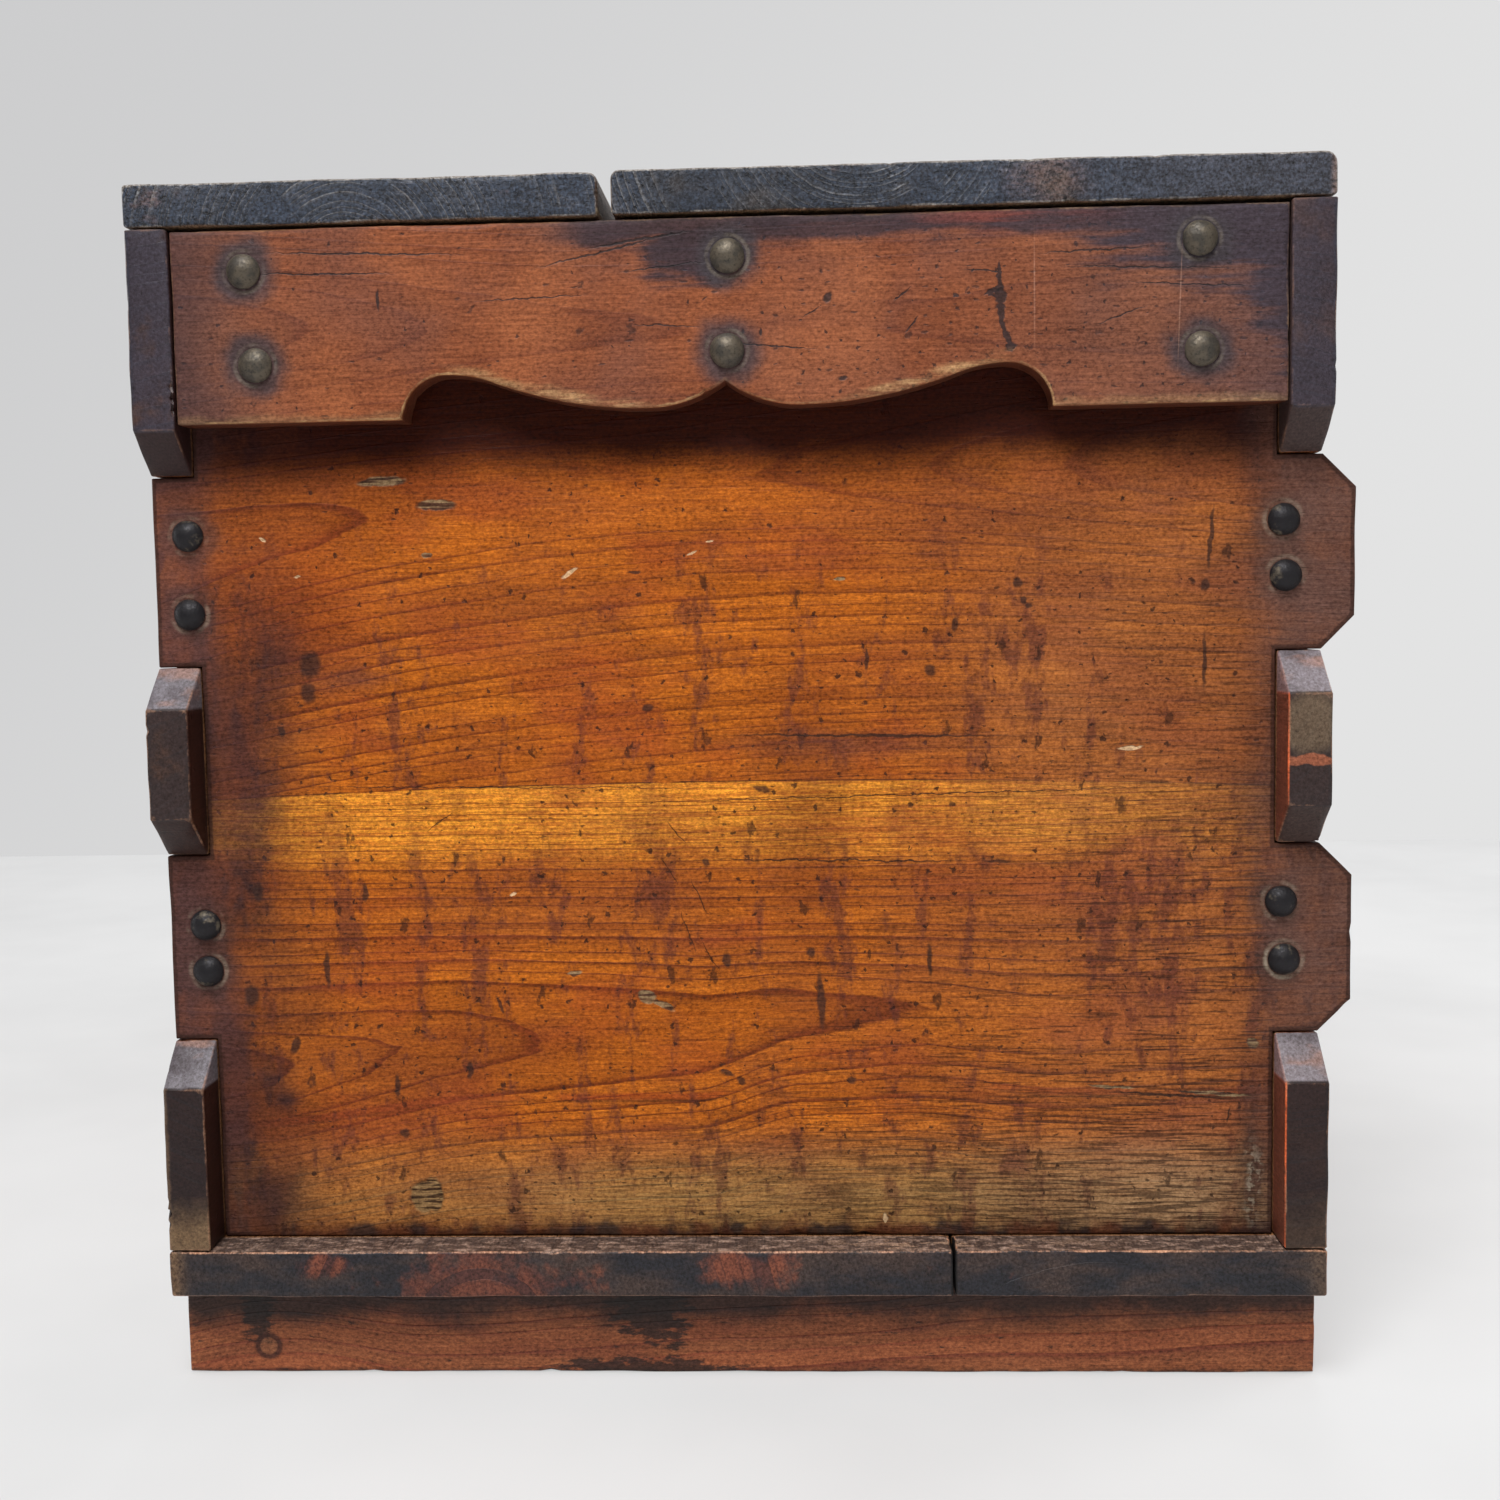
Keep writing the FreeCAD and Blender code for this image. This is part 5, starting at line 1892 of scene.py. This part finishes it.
@dataclass
class Studio:
    """Pale floor, pale background, soft lamps and the camera."""

    floor_end: float = 1.29
    floor_reach: float = 7.0
    focal_length: float = 39.6
    sensor: float = 36.0
    eye: tuple[float, float, float] = (0.02787, -1.02987, 0.31896)
    yaw: float = -2.334
    pitch: float = -4.429
    roll: float = -0.990

    def build(self) -> None:
        """Builds the floor, the world, the lamps and the camera."""
        self.lay_floor()
        self.light_world()
        for lamp in (("key", (-0.3, -1.45, 2.2), (0, -0.25, 0.3), 0.9, 58),
                     ("fill", (1.6, -1.9, 1.1), (0, -0.2, 0.25), 1.6, 4),
                     ("rim", (0.2, 1.7, 1.9), (0, 0.2, 0.3), 1.4, 16),
                     ("front", (2.3, 0.5, 1.5), (0.2, 0, 0.25), 1.4, 26),
                     ("back", (-2.3, 0.5, 0.7), (-0.2, 0, 0.25), 1.4, 14)):
            self.hang_lamp(*lamp)
        self.set_camera()
        log.info("studio: floor, world, five lamps and the camera")

    def lay_floor(self) -> None:
        """Flat floor that ends where the background begins."""
        reach = self.floor_reach
        corners = [(-reach, -reach, 0), (reach, -reach, 0), (reach, self.floor_end, 0),
                   (-reach, self.floor_end, 0)]
        mesh = bpy.data.meshes.new("floor")
        mesh.from_pydata(corners, [], [(0, 1, 2, 3)])
        floor = bpy.data.objects.new("floor", mesh)
        bpy.context.scene.collection.objects.link(floor)
        material = bpy.data.materials.new("pale_floor")
        material.use_nodes = True
        material.node_tree.nodes.clear()
        g = Graph(material.node_tree)
        place = g.add("TexCoord").outputs["Object"]
        cloud = g.step(g.noise(place, 2.2, 4.0, 0.6), 0.35, 0.7)
        colour = g.blend((232, 232, 232), (224, 224, 224), cloud)
        matt = g.add("BsdfPrincipled", {"Base Color": colour, "Roughness": 0.6})
        glow = g.add("Emission", {"Color": colour, "Strength": 1.0})
        seen = g.both(g.add("LightPath").outputs["Is Camera Ray"], 0.6)
        mixed = g.add("MixShader", {0: seen, 1: matt.outputs[0], 2: glow.outputs[0]})
        g.tree.links.new(mixed.outputs[0], g.add("OutputMaterial").inputs[0])
        mesh.materials.append(material)

    def light_world(self) -> None:
        """Even sky for the light, and a pale wall for what the camera and gloss see."""
        world = bpy.data.worlds.new("studio")
        bpy.context.scene.world = world
        world.use_nodes = True
        world.node_tree.nodes.clear()
        g = Graph(world.node_tree)
        sky = g.add("Background", {"Color": (0.93, 0.96, 1.0, 1.0), "Strength": 0.16})
        heading = g.split(g.add("TexCoord").outputs["Generated"])
        lit = g.plus(heading[0], g.both(heading[2], -0.9))
        tone = g.blend((204, 204, 205), (227, 227, 227), g.step(lit, -0.85, 0.35))
        path = g.add("LightPath").outputs
        ahead = g.most(g.step(heading[1], -0.2, 0.3), path["Is Camera Ray"])
        tone = g.blend((110, 110, 112), tone, ahead)
        wall = g.add("Background", {"Color": tone, "Strength": 1.0})
        seen = g.most(path["Is Camera Ray"], path["Is Glossy Ray"], path["Is Transmission Ray"])
        mixed = g.add("MixShader", {0: seen, 1: sky.outputs[0], 2: wall.outputs[0]})
        g.tree.links.new(mixed.outputs[0], g.add("OutputWorld").inputs[0])

    def hang_lamp(self, name: str, place: tuple, target: tuple, size: float, power: float) -> None:
        """Square area lamp aimed at a point.

        Args:
            name: Name of the lamp.
            place: Where it hangs.
            target: Where it points.
            size: Length of its side.
            power: Its power in watts.
        """
        lamp = bpy.data.lights.new(name, "AREA")
        lamp.size = size
        lamp.energy = power
        holder = bpy.data.objects.new(name, lamp)
        holder.location = place
        aim = Vector(target) - Vector(place)
        holder.rotation_euler = aim.to_track_quat("-Z", "Y").to_euler()
        bpy.context.scene.collection.objects.link(holder)

    def set_camera(self) -> None:
        """Camera that looks square on to the near end, a little down and to the right."""
        yaw, pitch, roll = (math.radians(a) for a in (self.yaw, self.pitch, self.roll))
        ahead = Vector((math.sin(yaw) * math.cos(pitch), math.cos(yaw) * math.cos(pitch), math.sin(pitch)))
        right = Vector((math.cos(yaw), -math.sin(yaw), 0.0))
        up = right.cross(ahead)
        turned_right = right * math.cos(roll) + up * math.sin(roll)
        turned_up = up * math.cos(roll) - right * math.sin(roll)
        lens = bpy.data.cameras.new("camera")
        lens.lens = self.focal_length
        lens.sensor_width = self.sensor
        holder = bpy.data.objects.new("camera", lens)
        axes = Matrix((turned_right, turned_up, -ahead)).transposed()
        holder.matrix_world = Matrix.Translation(Vector(self.eye)) @ axes.to_4x4()
        bpy.context.scene.collection.objects.link(holder)
        bpy.context.scene.camera = holder


def main() -> None:
    """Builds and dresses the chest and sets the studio."""
    logging.basicConfig(level=logging.INFO, format="%(name)s %(message)s")
    sizes = Carcase()
    Studio().build()
    for assembly in (EndWalls(sizes), SideWalls(sizes), Aprons(sizes), TopBoards(sizes), Floor(sizes),
                     Plinth(sizes), InnerTimber(sizes), Ironwork()):
        assembly.build()
    bpy.context.scene.view_settings.view_transform = "Standard"


if __name__ == "__main__":
    main()
